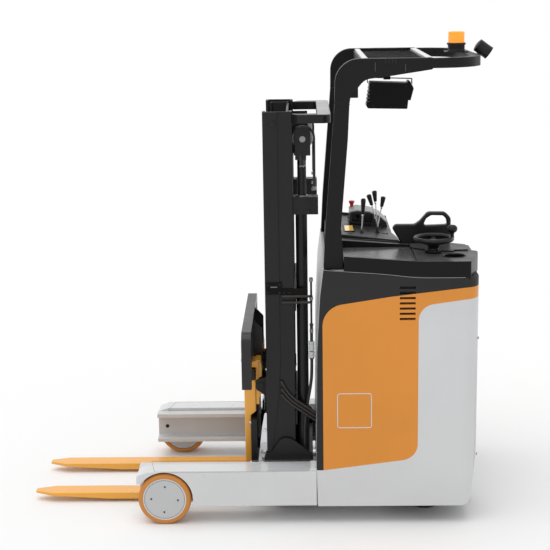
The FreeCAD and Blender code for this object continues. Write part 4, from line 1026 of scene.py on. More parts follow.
@dataclass
class Assembly:
    """A sub-assembly: it shapes its pieces and dresses each one for the body that carries it."""

    body: str = "chassis"

    def build(self) -> None:
        """Shape and dress every piece."""
        raise NotImplementedError

    def dress(self, work: Workpiece, slot: str, finish: Optional[Finish] = None,
              replaces: Iterable[str] = (), roll: float = 0.8, segments: int = 2,
              body: Optional[str] = None) -> Item:
        """Take a piece off the bench, roll its edges, dress it and set it on its body."""
        return publish(work.piece(roll, segments), body or self.body, slot, finish, replaces)

    def shells(self, *nodes: str, edge: float = 1.5, segments: int = 2,
               finish: Optional[Finish] = None, openings: Optional[Workpiece] = None) -> None:
        """Let shells with rolled edges stand for CAD nodes.

        Args:
            nodes: the CAD nodes.
            edge: the width of the rolled edge, in millimetres.
            segments: how many flats make up the rolled edge.
            finish: the finish, where the slot's usual one doesn't suit.
            openings: a solid on the bench that is cut out of them; it is used up.
        """
        tool = openings.loose() if openings else None
        for node in nodes:
            soften(node, edge / 1000, segments, finish, tool)
        if tool:
            bpy.data.objects.remove(tool)


# ---------------------------------------------------------------- legs and wheels

@dataclass
class LoadLegs(Assembly):
    """The two straddle legs with their rolling channels."""

    bolt_reach: float = 804
    bolt_height: float = 184
    channel_face: float = 373
    seam_rows: Pair = (544, 396)
    seam_end: float = 772
    seam_height: float = 264.8
    root_low: Point = (-2, 444, 264.6)
    root_high: Point = (34, 546, 280)

    def build(self) -> None:
        """Shape the legs, the small blocks at their roots and the channels' end bolts."""
        self.shells("leg_left", "leg_right", edge=2.5)
        self.shells("leg_channels", edge=1.8)
        roots, bolts = Workpiece("leg_root_blocks"), Workpiece("channel_end_bolts")
        for side in SIDES:
            low, high = self.root_low, self.root_high
            roots.prism([(low[0], low[2]), (high[0], low[2]), (high[0] - 5, high[2]),
                         (low[0], high[2])], side * low[1], side * high[1])
            face = side * self.channel_face
            bolts.lathe([(-3, 10), (0.8, 10), (1.2, 9), (1.2, 6), (-1.5, 5)],
                        (self.bolt_reach, face, self.bolt_height), (0, -side, 0), 36)
        seams = Workpiece("leg_top_seams")
        for side in SIDES:
            outer, inner = side * self.seam_rows[0], side * self.seam_rows[1]
            seams.frame_line([(x, y, self.seam_height) for x, y in (
                (self.seam_end, outer), (0, outer), (0, inner), (self.seam_end + 30, inner))], 1)
        self.dress(seams, "charcoal_paint", Finishes.MARK, roll=0)
        self.dress(roots, "white_paint", roll=1.5)
        self.dress(bolts, "black_moulding", roll=0.2)


@dataclass
class LoadWheel(Assembly):
    """One load wheel: its tyre, its hub and the four screws in its face."""

    side: int = 1
    axle: Pair = (728, 127)
    tyre_radius: float = 127
    hub_radius: float = 104
    groove: float = 96
    inner: float = 454
    outer: float = 550
    screw_circle: float = 63.7
    screw_radius: float = 4.2

    def build(self) -> None:
        """Shape the tyre with its rounded shoulders, the grooved hub and its pale ring."""
        name = SIDES[self.side]
        self.body = f"load_wheel_{name}"
        width = self.outer - self.inner
        centre = (self.axle[0], self.side * self.inner, self.axle[1])
        tread, lip = self.tyre_radius, self.hub_radius
        tyre = Workpiece(f"load_tyre_tread_{name}")
        shoulder = [(0.6, lip), (0.2, lip + 4), (0.8, tread - 13), (3, tread - 6),
                    (7, tread - 2), (13, tread)]
        tyre.lathe([*shoulder, *((width - along, radius) for along, radius in shoulder[::-1])],
                   centre, (0, self.side, 0), 120, closed=True)
        self.dress(tyre, "orange_polyurethane", replaces=[f"load_tyre_{name}"], roll=0)
        hub, ring = Workpiece(f"load_hub_disc_{name}"), Workpiece(f"load_hub_ring_{name}")
        groove = self.groove
        hub.lathe([(2, 20), (2, lip - 2), (width - 5, lip - 2), (width - 5, groove + 1.4),
                   (width - 7, groove + 1.4), (width - 7, groove - 1.4),
                   (width - 2.4, groove - 1.4), (width - 2.2, groove - 3), (width - 2.2, 5)],
                  centre, (0, self.side, 0), 120)
        self.dress(hub, "hub_enamel", replaces=[f"load_hub_{name}"], roll=0.3)
        ring.lathe([(width - 6, groove + 2), (width - 2, groove + 2), (width - 1.4, groove + 3),
                    (width - 1.4, lip - 1), (width - 2, lip), (width - 6, lip)],
                   centre, (0, self.side, 0), 120, closed=True)
        self.dress(ring, "hub_enamel", Finishes.WHITE, roll=0)
        face = (self.axle[0], self.side * (self.outer - 2.2), self.axle[1])
        screws = Workpiece(f"load_hub_screws_{name}")
        screws.sockets(bolt_ring(face, self.screw_circle, 4, 3), (0, self.side, 0),
                       self.screw_radius, 2)
        self.dress(screws, "black_moulding", roll=0.2)


@dataclass
class DriveUnit(Assembly):
    """The steered drive wheel with its gearbox and the motor above it."""

    wheel_axle: Pair = (-530, 165)
    hub_face: float = 365
    bolt_circle: float = 72
    bolt_count: int = 6
    bolt_across: float = 16
    bolt_height: float = 7

    def build(self) -> None:
        """Shape the motor, the gearbox, the wheel and the wheel's bolts."""
        self.shells("drive_motor")
        self.shells("drive_gearbox", "drive_tyre", "drive_hub", edge=2, segments=3)
        bolts = Workpiece("drive_wheel_bolts")
        face = (self.wheel_axle[0], self.hub_face - 0.5, self.wheel_axle[1])
        bolts.screws(bolt_ring(face, self.bolt_circle, self.bolt_count), LEFTWARD,
                     self.bolt_across, self.bolt_height)
        self.dress(bolts, "bright_steel", Finishes.ZINC, roll=0.3, body="drive_wheel")


@dataclass
class Caster(Assembly):
    """The swivel caster pair beside the drive wheel."""

    body: str = "caster_swivel"

    def build(self) -> None:
        """Dress the fork and the pair of small wheels."""
        self.shells("caster_fork", edge=2)
        self.shells("caster_wheels", edge=4, segments=3)


# ---------------------------------------------------------------- body

@dataclass
class BodyShell(Assembly):
    """The body: frame, battery, coloured side panels, vents with painted shade, a painted
    highlight bead.
    """

    side_face: float = 550
    panels: tuple[str, ...] = ("side_panel_left", "side_panel_right", "rear_cover_left",
                               "rear_cover_right")
    badge: Window = (-260, -101, 481, 648)
    badge_corner: float = 9
    badge_line: float = 2.2
    vent_centre: float = -427
    vent_half: float = 36.5
    vent_top: float = 1160
    vent_pitch: float = 24.7
    vent_height: float = 11
    vent_count: int = 7
    vent_gap: float = 0.3
    vent_cut: Pair = (530, 560)
    # Where the vents' black blocks of painted shade start and end across the machine.
    vent_back: Pair = (525.5, 531)
    highlight_radius: float = 1.1
    screw_radius: float = 6
    screw_height: float = 2.2
    cover_columns: Row = (-520, -690)
    cover_rows: Row = (320, 1000)
    rear_face: float = -760
    rear_columns: Row = (360, 500)
    rear_rows: Row = (330, 900)
    # Where the pale bead of painted highlight runs along the console's lower edge, as (reach, Z).
    seam: Pairs = ((-26, 1241.5), (-122, 1233.5), (-235, 1225.5), (-325, 1218), (-400, 1209),
                   (-470, 1200.5), (-560, 1199.5), (-690, 1199.5))

    def build(self) -> None:
        """Shape the shells, the vents' black backs of painted shade, the bare badge frame and the
        highlight bead.
        """
        self.shells("chassis_frame", "battery")
        self.shells(*self.panels[1:], edge=2.5, segments=3)
        self.shells("side_panel_left", edge=2.5, segments=3, openings=self.vents("panel"))
        self.shells("upper_band_left", edge=2.5, segments=3, finish=Finishes.BAND,
                    openings=self.vents("band"))
        self.shells("upper_band_right", edge=2.5, segments=3, finish=Finishes.BAND)
        self.build_vents()
        self.build_badges()
        self.build_highlight_bead()
        self.build_screws()

    def vent_blocks(self, work: Workpiece, walls: Pair, gap: float = 0) -> None:
        """Add a block for each vent.

        Args:
            work: the piece on the bench.
            walls: where the blocks start and end across the machine.
            gap: how far each block keeps from the vent's edges.
        """
        half = self.vent_half - gap
        for row in range(self.vent_count):
            top = self.vent_top - self.vent_pitch * row
            work.block((self.vent_centre - half, walls[0], top - self.vent_height + gap),
                       (self.vent_centre + half, walls[1], top - gap))

    def vents(self, name: str) -> Workpiece:
        """Make the solid that opens the vents in a part of the left wall.

        Args:
            name: the part's name.

        Returns:
            The solid, on the bench.
        """
        tool = Workpiece(f"{name}_vent_openings")
        self.vent_blocks(tool, self.vent_cut)
        return tool

    def build_vents(self) -> None:
        """Set a black block in each vent of the left wall: painted shade for the vent's dark
        inside.
        """
        backs = Workpiece("vent_shade_blocks")
        self.vent_blocks(backs, self.vent_back, self.vent_gap)
        self.dress(backs, "black_moulding", roll=0)

    def build_badges(self) -> None:
        """Raise a plain thin frame, with nothing in it, on each side panel."""
        frames = Workpiece("badge_frames")
        rear, front, low, high = self.badge
        cut, eased = self.badge_corner, self.badge_corner * 0.3
        for side in SIDES:
            y = side * self.side_face
            frames.frame_line([
                (rear + cut, y, low), (front - cut, y, low), (front - eased, y, low + eased),
                (front, y, low + cut), (front, y, high - cut),
                (front - eased, y, high - eased), (front - cut, y, high),
                (rear + cut, y, high), (rear + eased, y, high - eased), (rear, y, high - cut),
                (rear, y, low + cut), (rear + eased, y, low + eased)], self.badge_line)
        self.dress(frames, "white_paint", roll=0)

    def build_highlight_bead(self) -> None:
        """Lay a fine pale bead between the console and the dark band under it: a painted
        highlight along that edge.
        """
        beads = Workpiece("console_highlight_bead")
        beads.hose([(x, self.side_face - 0.4, z) for x, z in self.seam], self.highlight_radius)
        self.dress(beads, "light_grey_paint", Finishes.HIGHLIGHT_LINE, roll=0)

    def build_screws(self) -> None:
        """Fix the plain right cover and the rear with socket screws."""
        screws = Workpiece("cover_screws")
        cover = [(x, -self.side_face, z) for x in self.cover_columns for z in self.cover_rows]
        rear = [(self.rear_face, y, z) for y in self.rear_columns for z in self.rear_rows]
        for places, way in ((cover, (0, -1, 0)), (rear, (-1, 0, 0))):
            screws.sockets(places, way, self.screw_radius, self.screw_height)
        self.dress(screws, "black_moulding", roll=0.2)


@dataclass
class OperatorBay(Assembly):
    """The stand-in bay: its ribbed mat, the pedal with its grips and the back pad."""

    mat_top: float = 239
    mat_reach: Pair = (-712, -360)
    mat_sides: Pair = (-475, 107)
    mat_margin: float = 15
    rib_pitch: float = 18
    rib_width: float = 8
    rib_height: float = 2
    pedal_foot: Pair = (-470, 249.8)
    pedal_run: float = 90
    pedal_rise: float = 14
    pedal_sides: Pair = (-294, -196)
    grip_start: float = -455
    grip_pitch: float = 20
    grip_count: int = 4
    grip_width: float = 7

    def build(self) -> None:
        """Shape the mat with its ribs, the pedal with its grips and the pad."""
        self.shells("floor_mat", "brake_pedal", edge=1.5)
        self.shells("knee_pad", edge=9, segments=4)
        ribs = Workpiece("mat_ribs")
        (rear, front), (right, left) = self.mat_reach, self.mat_sides
        for row in range(int((left - right - 2 * self.mat_margin) / self.rib_pitch)):
            y = right + self.mat_margin + self.rib_pitch * row
            ribs.block((rear, y, self.mat_top - 0.4),
                       (front, y + self.rib_width, self.mat_top + self.rib_height))
        self.dress(ribs, "black_rubber", roll=0.8)
        grips = Workpiece("pedal_grips")
        foot, low = self.pedal_foot
        right, left = self.pedal_sides
        for row in range(self.grip_count):
            x = self.grip_start + self.grip_pitch * row
            z = low + (x - foot) / self.pedal_run * self.pedal_rise
            grips.block((x, right, z - 1), (x + self.grip_width, left, z + 3))
        self.dress(grips, "black_rubber", roll=0.6)


# ---------------------------------------------------------------- console and controls

@dataclass
class ConsoleDeck(Assembly):
    """The dark moulded deck over the drive bay, with its ledges, tray and cup holder."""

    ledge_front: float = -139
    ledge_rear: float = -452
    ledge_starts: Pairs = ((100, 1308), (119, 1303), (137, 1298))
    ledge_fall: float = 25
    ledge_half: float = 7
    cup_centre: Pair = (-653, 413)
    cup_radius: float = 55
    deck_top: float = 1275
    flange_centre: Pair = (-563, 335)

    plan: Outline = ((-60, 548), (-716, 548, 12), (-771, 350, 14), (-773, 303, 8),
                     (-749, 285, 10), (-749, 161, 12), (-680, 120, 10), (-385, 120),
                     (-385, -548, 20), (-60, -548))
    side_view: Outline = ((-26, 1241), (-122, 1233), (-325, 1218, 300), (-470, 1200, 300),
                          (-683, 1199), (-712, 1186), (-790, 1182), (-790, 1275),
                          (-490, 1275, 500), (-134, 1303), (-46, 1303))
    pad: Outline = ((-464, 130, 12), (-464, 228, 20), (-527, 284, 30), (-605, 312, 30),
                    (-657, 324, 6), (-668, 300, 8), (-733, 294, 6), (-733, 167, 10),
                    (-674, 130, 10))
    pad_height: float = 6
    tray: Window = (-470, -130, 150, 528)
    tray_corner: float = 12
    tray_floor: float = 1267
    mat_margin: float = 6
    sink: float = 4
    shoulder: Pair = (-134.3, -20)
    shoulder_rows: Pair = (446, 555)
    clear_below: float = 1180
    clear_above: float = 1335
    flange_radius: float = 40
    flange_height: float = 13
    flange_circle: float = 33
    flange_screws: Row = (0.5, 2.1, 3.7, 5.3)

    def tray_outline(self, margin: float = 0) -> list[Row]:
        """Draw the tray's rounded outline.

        Args:
            margin: how far it is drawn in.

        Returns:
            Corners as (reach, Y, radius).
        """
        (rear, front, low, high), corner = self.tray, self.tray_corner
        return [(rear + margin, low + margin, corner), (front - margin, low + margin, corner),
                (front - margin, high - margin, corner), (rear + margin, high - margin, corner)]

    def build(self) -> None:
        """Shape the deck with its pad, tray, cup holder and flange, then what stands on it."""
        deck = Workpiece("console_deck")
        deck.prism(self.plan, self.clear_below + 10, self.clear_above - 20, Axis.Z)
        side = Workpiece("console_side")
        side.prism(self.side_view, -560, 560)
        deck.combine(side, Join.KEEP)
        tools = Workpiece("console_tools")
        tools.prism(self.tray_outline(), self.tray_floor, self.clear_above, Axis.Z)
        tools.lathe([(0, self.cup_radius), (80, self.cup_radius)],
                    (*self.cup_centre, self.deck_top - 52), UP, 64)
        (rear, front), rows = self.shoulder, self.shoulder_rows
        for hand in SIDES:
            low, high = sorted(hand * row for row in rows)
            tools.block((rear, low, self.clear_below), (front, high, self.clear_above))
        deck.combine(tools, Join.CUT)
        foot = self.deck_top - self.sink
        deck.prism(self.pad, foot, self.deck_top + self.pad_height, Axis.Z)
        deck.lathe([(0, self.flange_radius), (self.sink + self.flange_height,
                                              self.flange_radius)],
                   (*self.flange_centre, foot), UP, 64)
        self.dress(deck, "grey_moulding", replaces=["console_cover"], roll=4, segments=4)
        # A lighter, glossier sheet on the tray floor: the gloss is real, the lighter colour is a
        # painted sheen.
        mat = Workpiece("tray_floor_sheen")
        mat.prism(self.tray_outline(self.mat_margin), self.tray_floor - 3,
                  self.tray_floor + 1.5, Axis.Z)
        self.dress(mat, "grey_moulding", Finishes.TRAY_SHEEN, roll=1)
        self.build_ledges()
        self.build_fittings()

    def build_ledges(self) -> None:
        """Skin the three ledges that run back over the deck and sink into it."""
        ledges = Workpiece("deck_ledges")
        half = self.ledge_half
        for y, z in self.ledge_starts:
            section = [(-half, 0), (-half * 0.8, -4), (half * 0.6, -5), (half * 1.5, -14),
                       (half * 1.2, -26), (-half, -26)]
            rings = []
            for x, drop, spread in ((self.ledge_front, 0, 1), (-330, 12, 0.9),
                                    (self.ledge_rear, self.ledge_fall, 0.45)):
                rings.append([spot(x, y + u * spread, z - drop + v * spread) for u, v in section])
            ledges.skin(rings)
        self.dress(ledges, "grey_moulding", roll=2, segments=3)

    def build_fittings(self) -> None:
        """Turn the cup holder's lip and screw down the steering column's flange."""
        lip = Workpiece("cup_holder_lip")
        lip.lathe([(-3, self.cup_radius - 4), (-1, self.cup_radius + 4),
                   (1.6, self.cup_radius + 3), (1.8, self.cup_radius - 2),
                   (-3, self.cup_radius - 7)],
                  (*self.cup_centre, self.deck_top), UP, 72, closed=True)
        self.dress(lip, "black_moulding", roll=0.5)
        screws = Workpiece("flange_screws")
        x, y = self.flange_centre
        out, level = self.flange_circle, self.deck_top + self.flange_height
        screws.sockets([(x + out * math.cos(turn), y + out * math.sin(turn), level)
                        for turn in self.flange_screws], UP, 4, 2.5)
        self.dress(screws, "black_moulding", roll=0.2)


@dataclass
class Dash(Assembly):
    """The dash: its panel, hooded instrument pod, display, lever plate and switches."""

    display_low: Point = (-206, -188, 1308)
    display_high: Point = (-150, -30, 1317)
    face_margin: float = 7
    plate: Pairs = ((-271, -264), (-373, -292), (-373, -52), (-273, -96))
    panel_front: Pair = (-130, 1317)
    panel_slope: float = 29 / 300
    hood: Profile = ((-187, 1368), (-191, 1376), (-225, 1384), (-291, 1376), (-347, 1351),
                     (-381, 1318), (-378, 1313), (-344, 1345), (-290, 1369), (-225, 1377),
                     (-192, 1370))
    hood_span: Pair = (-431, -259)
    screen: Profile = ((-203, 1321), (-203, 1359), (-302, 1349), (-302, 1315))
    screen_face: float = -274.2
    facing: Point = (0.096, 0, 1)
    key_rows: int = 3
    key_pitch: float = 17
    key_reach: float = -186
    lock_place: Pair = (-345, -352)
    rocker_rows: int = 3
    rocker_pitch: float = 24
    rocker_start: float = -506
    rocker_width: float = 18
    plan: Outline = ((-136, -546), (-136, 62, 10), (-421, 92, 10), (-412, -20, 100),
                     (-395, -110, 100), (-395, -546, 15))
    pod: Outline = ((-186, 1304), (-190, 1372, 8), (-225, 1378, 30), (-290, 1370, 60),
                    (-345, 1346, 40), (-376, 1318, 10), (-385, 1288))
    pod_span: Pair = (-430, -262)
    recess: Outline = ((-200, 1318, 6), (-200, 1362, 6), (-305, 1352, 6), (-305, 1312, 6))

    def panel_height(self, x: float) -> float:
        """The height of the panel's surface at a reach."""
        return self.panel_front[1] + (x - self.panel_front[0]) * self.panel_slope

    def build(self) -> None:
        """Shape the panel, pod, display, plates and switches."""
        panel = Workpiece("dash_panel")
        panel.prism(self.plan, 1260, 1345, Axis.Z)
        profile = Workpiece("dash_profile")
        profile.prism([(-130, 1303.6), self.panel_front, (-430, 1288), (-430, 1280)], -560, 110)
        panel.combine(profile, Join.KEEP)
        panel.prism([(-138, 1310), (-138, 1328), (-392, 1304, 4), (-392, 1288)], -546, -528)
        self.dress(panel, "light_moulding", replaces=["dash_console"], roll=3, segments=3)
        pod, recess = Workpiece("dash_pod"), Workpiece("pod_recess")
        pod.prism(self.pod, *self.pod_span)
        recess.prism(self.recess, -275, -255)
        pod.combine(recess, Join.CUT)
        self.dress(pod, "light_moulding", Finishes.POD, roll=3, segments=3)
        self.build_display()
        self.build_hood()
        self.build_plate()
        self.build_switches()

    def build_display(self) -> None:
        """Set the display's bright face in its dark bezel."""
        low, high, edge = self.display_low, self.display_high, self.face_margin
        bezel = Workpiece("display_bezel")
        bezel.block(low, high)
        self.dress(bezel, "black_moulding", roll=1.6, segments=3)
        face = Workpiece("display_face")
        face.block((low[0] + edge, low[1] + edge, high[2] - 0.5),
                   (high[0] - edge, high[1] - edge, high[2] + 0.5))
        self.dress(face, "amber_lens", Finishes.DISPLAY, roll=0.3)
        keys = Workpiece("display_keys")
        level = self.panel_height(self.key_reach)
        for row in range(self.key_rows):
            y = high[1] + 12 + row * self.key_pitch
            keys.block((low[0] + 14, y, level - 1), (low[0] + 36, y + 12, level + 2.6))
        self.dress(keys, "black_moulding", roll=1.2, segments=3)

    def build_hood(self) -> None:
        """Cover the pod with its pale hood and glaze its screen."""
        hood = Workpiece("pod_hood")
        hood.prism(self.hood, *self.hood_span)
        self.dress(hood, "grey_moulding", Finishes.PALE_MOULDING, roll=1.5, segments=3)
        screen = Workpiece("pod_screen")
        screen.prism(self.screen, self.screen_face - 2, self.screen_face + 1.2)
        self.dress(screen, "black_moulding", Finishes.BLACK_GLASS, roll=0.6)
        sill = Workpiece("pod_sill")
        sill.prism([(-184, 1316), (-184, 1327), (-300, 1318), (-300, 1303)], -262.5, -247)
        self.dress(sill, "black_moulding", roll=2, segments=3)

    def build_plate(self) -> None:
        """Outline the lever plate on the panel and fix it at its corners."""
        corners = [(x, y, self.panel_height(x) + 0.2) for x, y in self.plate]
        outline = Workpiece("lever_plate_outline")
        outline.frame_line(corners, 1.7)
        self.dress(outline, "black_moulding", roll=0)
        screws = Workpiece("lever_plate_screws")
        middle = sum((Vector(c) for c in corners), Vector()) / len(corners)
        places = [tuple(Vector(c).lerp(middle, 0.13)) for c in corners]
        screws.sockets(places, self.facing, 3.6, 2)
        self.dress(screws, "black_moulding", roll=0.2)

    def build_switches(self) -> None:
        """Add the key switch and the row of rocker switches at the far end."""
        lock = Workpiece("key_switch")
        x, y = self.lock_place
        level = self.panel_height(x)
        lock.lathe([(-1, 15), (3, 15), (5, 13.5), (5, 8), (3, 7)], (x, y, level), self.facing, 48)
        self.dress(lock, "chrome_rod", Finishes.ZINC, roll=0.4)
        key = Workpiece("key")
        key.block((x - 2, y - 12, level + 4), (x + 2, y + 12, level + 22))
        self.dress(key, "black_moulding", roll=1.6, segments=3)
        rockers = Workpiece("rocker_switches")
        z = self.panel_height(-200)
        for row in range(self.rocker_rows):
            y = self.rocker_start + self.rocker_pitch * row
            rockers.prism([(-182, z - 1), (-182, z + 5), (-200, z + 1.5), (-218, z + 5),
                           (-218, z - 1)], y, y + self.rocker_width)
        self.dress(rockers, "black_moulding", roll=1, segments=3)


@dataclass(frozen=True)
class LeverShape:
    """One hand lever: its boot's foot, its knee, where the grip starts, and its tip."""

    foot: Point
    knee: Point
    tip: Point


@dataclass
class Levers(Assembly):
    """The hydraulic levers: bright shafts and tapered grips out of two pleated boots."""

    levers: tuple[LeverShape, ...] = (
        LeverShape((-321, -72, 1328), (-292, -72, 1441), (-276, -72, 1493)),
        LeverShape((-321, -72, 1328), (-310, -72, 1460), (-305, -72, 1512)),
        LeverShape((-321, -72, 1328), (-342, -72, 1432), (-351, -72, 1482)),
        LeverShape((-240, -31, 1318), (-246, -31, 1404), (-249, -31, 1480)))
    boots: tuple[tuple[float, float, float, float, float], ...] = (
        (-321, -72, 1300, 11, 24), (-240, -31, 1307, 11, 14))
    shaft_radius: float = 3.1
    grip: Profile = ((-3, 6), (0, 8), (6, 8.8), (20, 9.8), (36, 11.6), (46, 12.4), (51, 11.6),
                     (54, 8.5), (55, 4))
    collar: Profile = ((-14, 4.6), (-12, 5.4), (-4, 5.4), (-3, 4.6))

    def build(self) -> None:
        """Shape the shafts, the grips and the boots."""
        shafts, grips = Workpiece("lever_shafts"), Workpiece("lever_grips")
        for lever in self.levers:
            line = tuple(Vector(lever.tip) - Vector(lever.knee))
            shafts.rod(lever.foot, lever.knee, self.shaft_radius)
            shafts.lathe(self.collar, lever.knee, line, 6)
            stretch = Vector(line).length / 55
            grips.lathe([(d * stretch, r) for d, r in self.grip], lever.knee, line, 36)
        self.dress(shafts, "chrome_rod", roll=0.3)
        self.dress(grips, "black_moulding", replaces=["hand_levers"], roll=0)
        boots = Workpiece("lever_boots")
        for x, y, z, radius, height in self.boots:
            outline = [(0, radius + 1)]
            pleats = max(3, round(height / 8))
            for step in range(pleats):
                share = step / pleats
                wide = radius * (1 - 0.62 * share)
                outline += [(height * (share + 0.25 / pleats), wide),
                            (height * (share + 0.75 / pleats), wide * 0.8)]
            outline.append((height, radius * 0.3))
            boots.lathe(outline, (x, y, z), UP, 36)
        self.dress(boots, "black_rubber", roll=0.4)


@dataclass
class StopButton(Assembly):
    """The red mushroom stop button on its pale collar."""

    foot: Point = (-203, -395, 1372)
    cap: Profile = ((0, 9), (14, 8.6), (22, 10), (30, 14), (32, 15.4), (36, 15.4), (38.5, 13.5),
                    (40, 6))
    collar: Profile = ((-2, 15), (1, 15), (2.4, 13.6), (2.6, 10))

    def build(self) -> None:
        """Turn the button and its collar."""
        cap, collar = Workpiece("stop_button_cap"), Workpiece("stop_button_collar")
        cap.lathe(self.cap, self.foot, UP, 48)
        self.dress(cap, "red_button", replaces=["stop_button"], roll=0)
        collar.lathe(self.collar, self.foot, UP, 48)
        self.dress(collar, "grey_moulding", Finishes.PALE_MOULDING, roll=0.3)


@dataclass
class GrabHandle(Assembly):
    """The moulded side guard with its rounded grab loop."""

    outline: Outline = ((-383, 1352, 12), (-397, 1371, 18), (-492, 1371, 25), (-516, 1388, 25),
                        (-555, 1432, 28), (-640, 1431, 28), (-668, 1402, 28), (-668, 1322, 60),
                        (-650, 1150, 20), (-470, 1150, 20), (-430, 1272, 40))
    loop: Outline = ((-533, 1365, 10), (-548, 1400, 18), (-572, 1416, 20), (-630, 1414, 16),
                     (-645, 1396, 12), (-650, 1369, 8))
    span: Pair = (79.7, 119.7)

    def build(self) -> None:
        """Shape the guard and its loop, with edges rolled widely as its moulding is."""
        guard, hole = Workpiece("side_guard"), Workpiece("side_guard_loop")
        guard.prism(self.outline, *self.span)
        hole.prism(self.loop, 60, 140)
        guard.combine(hole, Join.CUT)
        self.dress(guard, "black_moulding", replaces=["grab_handle"], roll=9, segments=5)


@dataclass
class HelmWheel(Assembly):
    """The steering wheel: its rim, dished spokes, hub with its cap and spinner knob."""

    body: str = "helm"
    centre: Point = (-563, 335, 1342)
    ring_radius: float = 85
    rim_radius: float = 11.8
    hub: Profile = ((-52, 26), (-50, 26.5), (-46, 24), (-34, 27), (-26, 33), (-20, 35), (-13, 34),
                    (-8, 30), (-7, 20), (-8, 4))
    knob: Profile = ((2, 10), (14, 8.6), (26, 9.4), (30, 14), (34, 20), (41, 23.6), (49, 24),
                     (56, 22), (62, 16.5), (65, 8), (65.6, 2))

    def build(self) -> None:
        """Shape the rim, the spokes, the hub with its cap and the knob."""
        rim = Workpiece("helm_rim")
        steps = 18
        outline = [(self.rim_radius * math.sin(math.tau * i / steps),
                    self.ring_radius + self.rim_radius * math.cos(math.tau * i / steps))
                   for i in range(steps)]
        rim.lathe(outline, self.centre, UP, 96, closed=True)
        self.dress(rim, "black_moulding", replaces=["steering_wheel"], roll=0)
        centre = Vector(self.centre)
        spokes = Workpiece("helm_spokes")
        for turn in (25, 145, 265):
            out = Vector((math.cos(math.radians(turn)), math.sin(math.radians(turn)), 0))
            across = Vector((-out.y, out.x, 0))
            rings = []
            for reach, drop, half, thick in ((20, -22, 17, 7), (50, -17, 13, 5),
                                             (self.ring_radius - 4, -5, 11, 6)):
                middle = centre + out * reach + Vector((0, 0, drop))
                rings.append([spot(*(middle + across * half * a + Vector((0, 0, thick * b))))
                              for a, b in ((-1, -1), (1, -1), (1, 0.6), (0.6, 1), (-0.6, 1),
                                           (-1, 0.6))])
            spokes.skin(rings)
        self.dress(spokes, "black_moulding", roll=1.5, segments=3)
        hub = Workpiece("helm_hub")
        hub.lathe(self.hub, self.centre, UP, 60)
        self.dress(hub, "black_moulding", roll=0.5)
        cap = Workpiece("helm_cap")
        cap.lathe([(-8, 21), (-6, 21), (-4.6, 19), (-4, 10), (-4.4, 2)], self.centre, UP, 48)
        self.dress(cap, "grey_moulding", roll=0.3)
        knob = Workpiece("helm_knob")
        x, y, z = self.centre
        knob.lathe(self.knob, (x - self.ring_radius - 3, y, z), UP, 48)
        self.dress(knob, "black_moulding", roll=0)


# ---------------------------------------------------------------- overhead guard and lamps

@dataclass
class OverheadGuard(Assembly):
    """The overhead guard: pillars, roof, pale cross bars and the pillar's bracket."""

    half_width: float = 470
    face: float = 520
    cross_bars: Pairs = ((-248, -224), (-540, -512))
    bar_low: float = 2166
    bar_high: float = 2194.5
    beam_seam: Profile = ((-534, 2147), (-534, 2194))
    pillar_seam: Profile = ((-95.5, 1997), (-166, 1994.5))
    mark_lines: tuple[Point, ...] = ((-278, 2140, 2179), (-413, 2138, 2169))
    notches: Row = (-325, -339.7, -354.3, -369)

    def build(self) -> None:
        """Shape the frame, the bars, the bracket, the seams and the beam's small marks."""
        self.shells("guard_pillars", "guard_roof", edge=4, segments=3)
        bars = Workpiece("roof_cross_bars")
        for low, high in self.cross_bars:
            bars.block((low - 0.6, -self.half_width, self.bar_low - 0.6),
                       (high + 0.6, self.half_width, self.bar_high + 0.6))
        self.dress(bars, "light_grey_paint", Finishes.BARS, roll=2, segments=3)
        screws = Workpiece("cross_bar_screws")
        for low, high in self.cross_bars:
            screws.sockets([((low + high) / 2, y, self.bar_high) for y in
                            (-self.half_width + 12, self.half_width - 12)], UP, 5, 2)
        self.dress(screws, "bright_steel", Finishes.ZINC, roll=0.2)
        bracket = Workpiece("pillar_bracket")
        bracket.block((-202, self.face - 40, 2022), (-168, self.face - 12, 2082))
        self.dress(bracket, "charcoal_paint", roll=2)
        self.build_marks()

    def build_marks(self) -> None:
        """Lay the beam's seams and small light marks, and black blocks that paint the shade in
        its notches.
        """
        seams, lines = Workpiece("guard_seams"), Workpiece("guard_mark_lines")
        notches = Workpiece("guard_notch_shade")
        for side in SIDES:
            y = side * (self.face - 0.5)
            for run in (self.beam_seam, self.pillar_seam):
                (x0, z0), (x1, z1) = run
                seams.rod((x0, y, z0), (x1, y, z1), 1.3, steps=10)
            for x, low, high in self.mark_lines:
                lines.rod((x, y, low), (x, y, high), 0.8, steps=10)
            # Black blocks fill the notches: painted shade for the recesses.
            for x in self.notches:
                notches.block((x - 3.4, min(y, y - side * 8), 2174),
                              (x + 3.4, max(y, y + side * 1.2), 2196.4))
        self.dress(seams, "black_moulding", roll=0)
        self.dress(lines, "charcoal_paint", Finishes.MARK, roll=0)
        self.dress(notches, "black_moulding", roll=0.6)


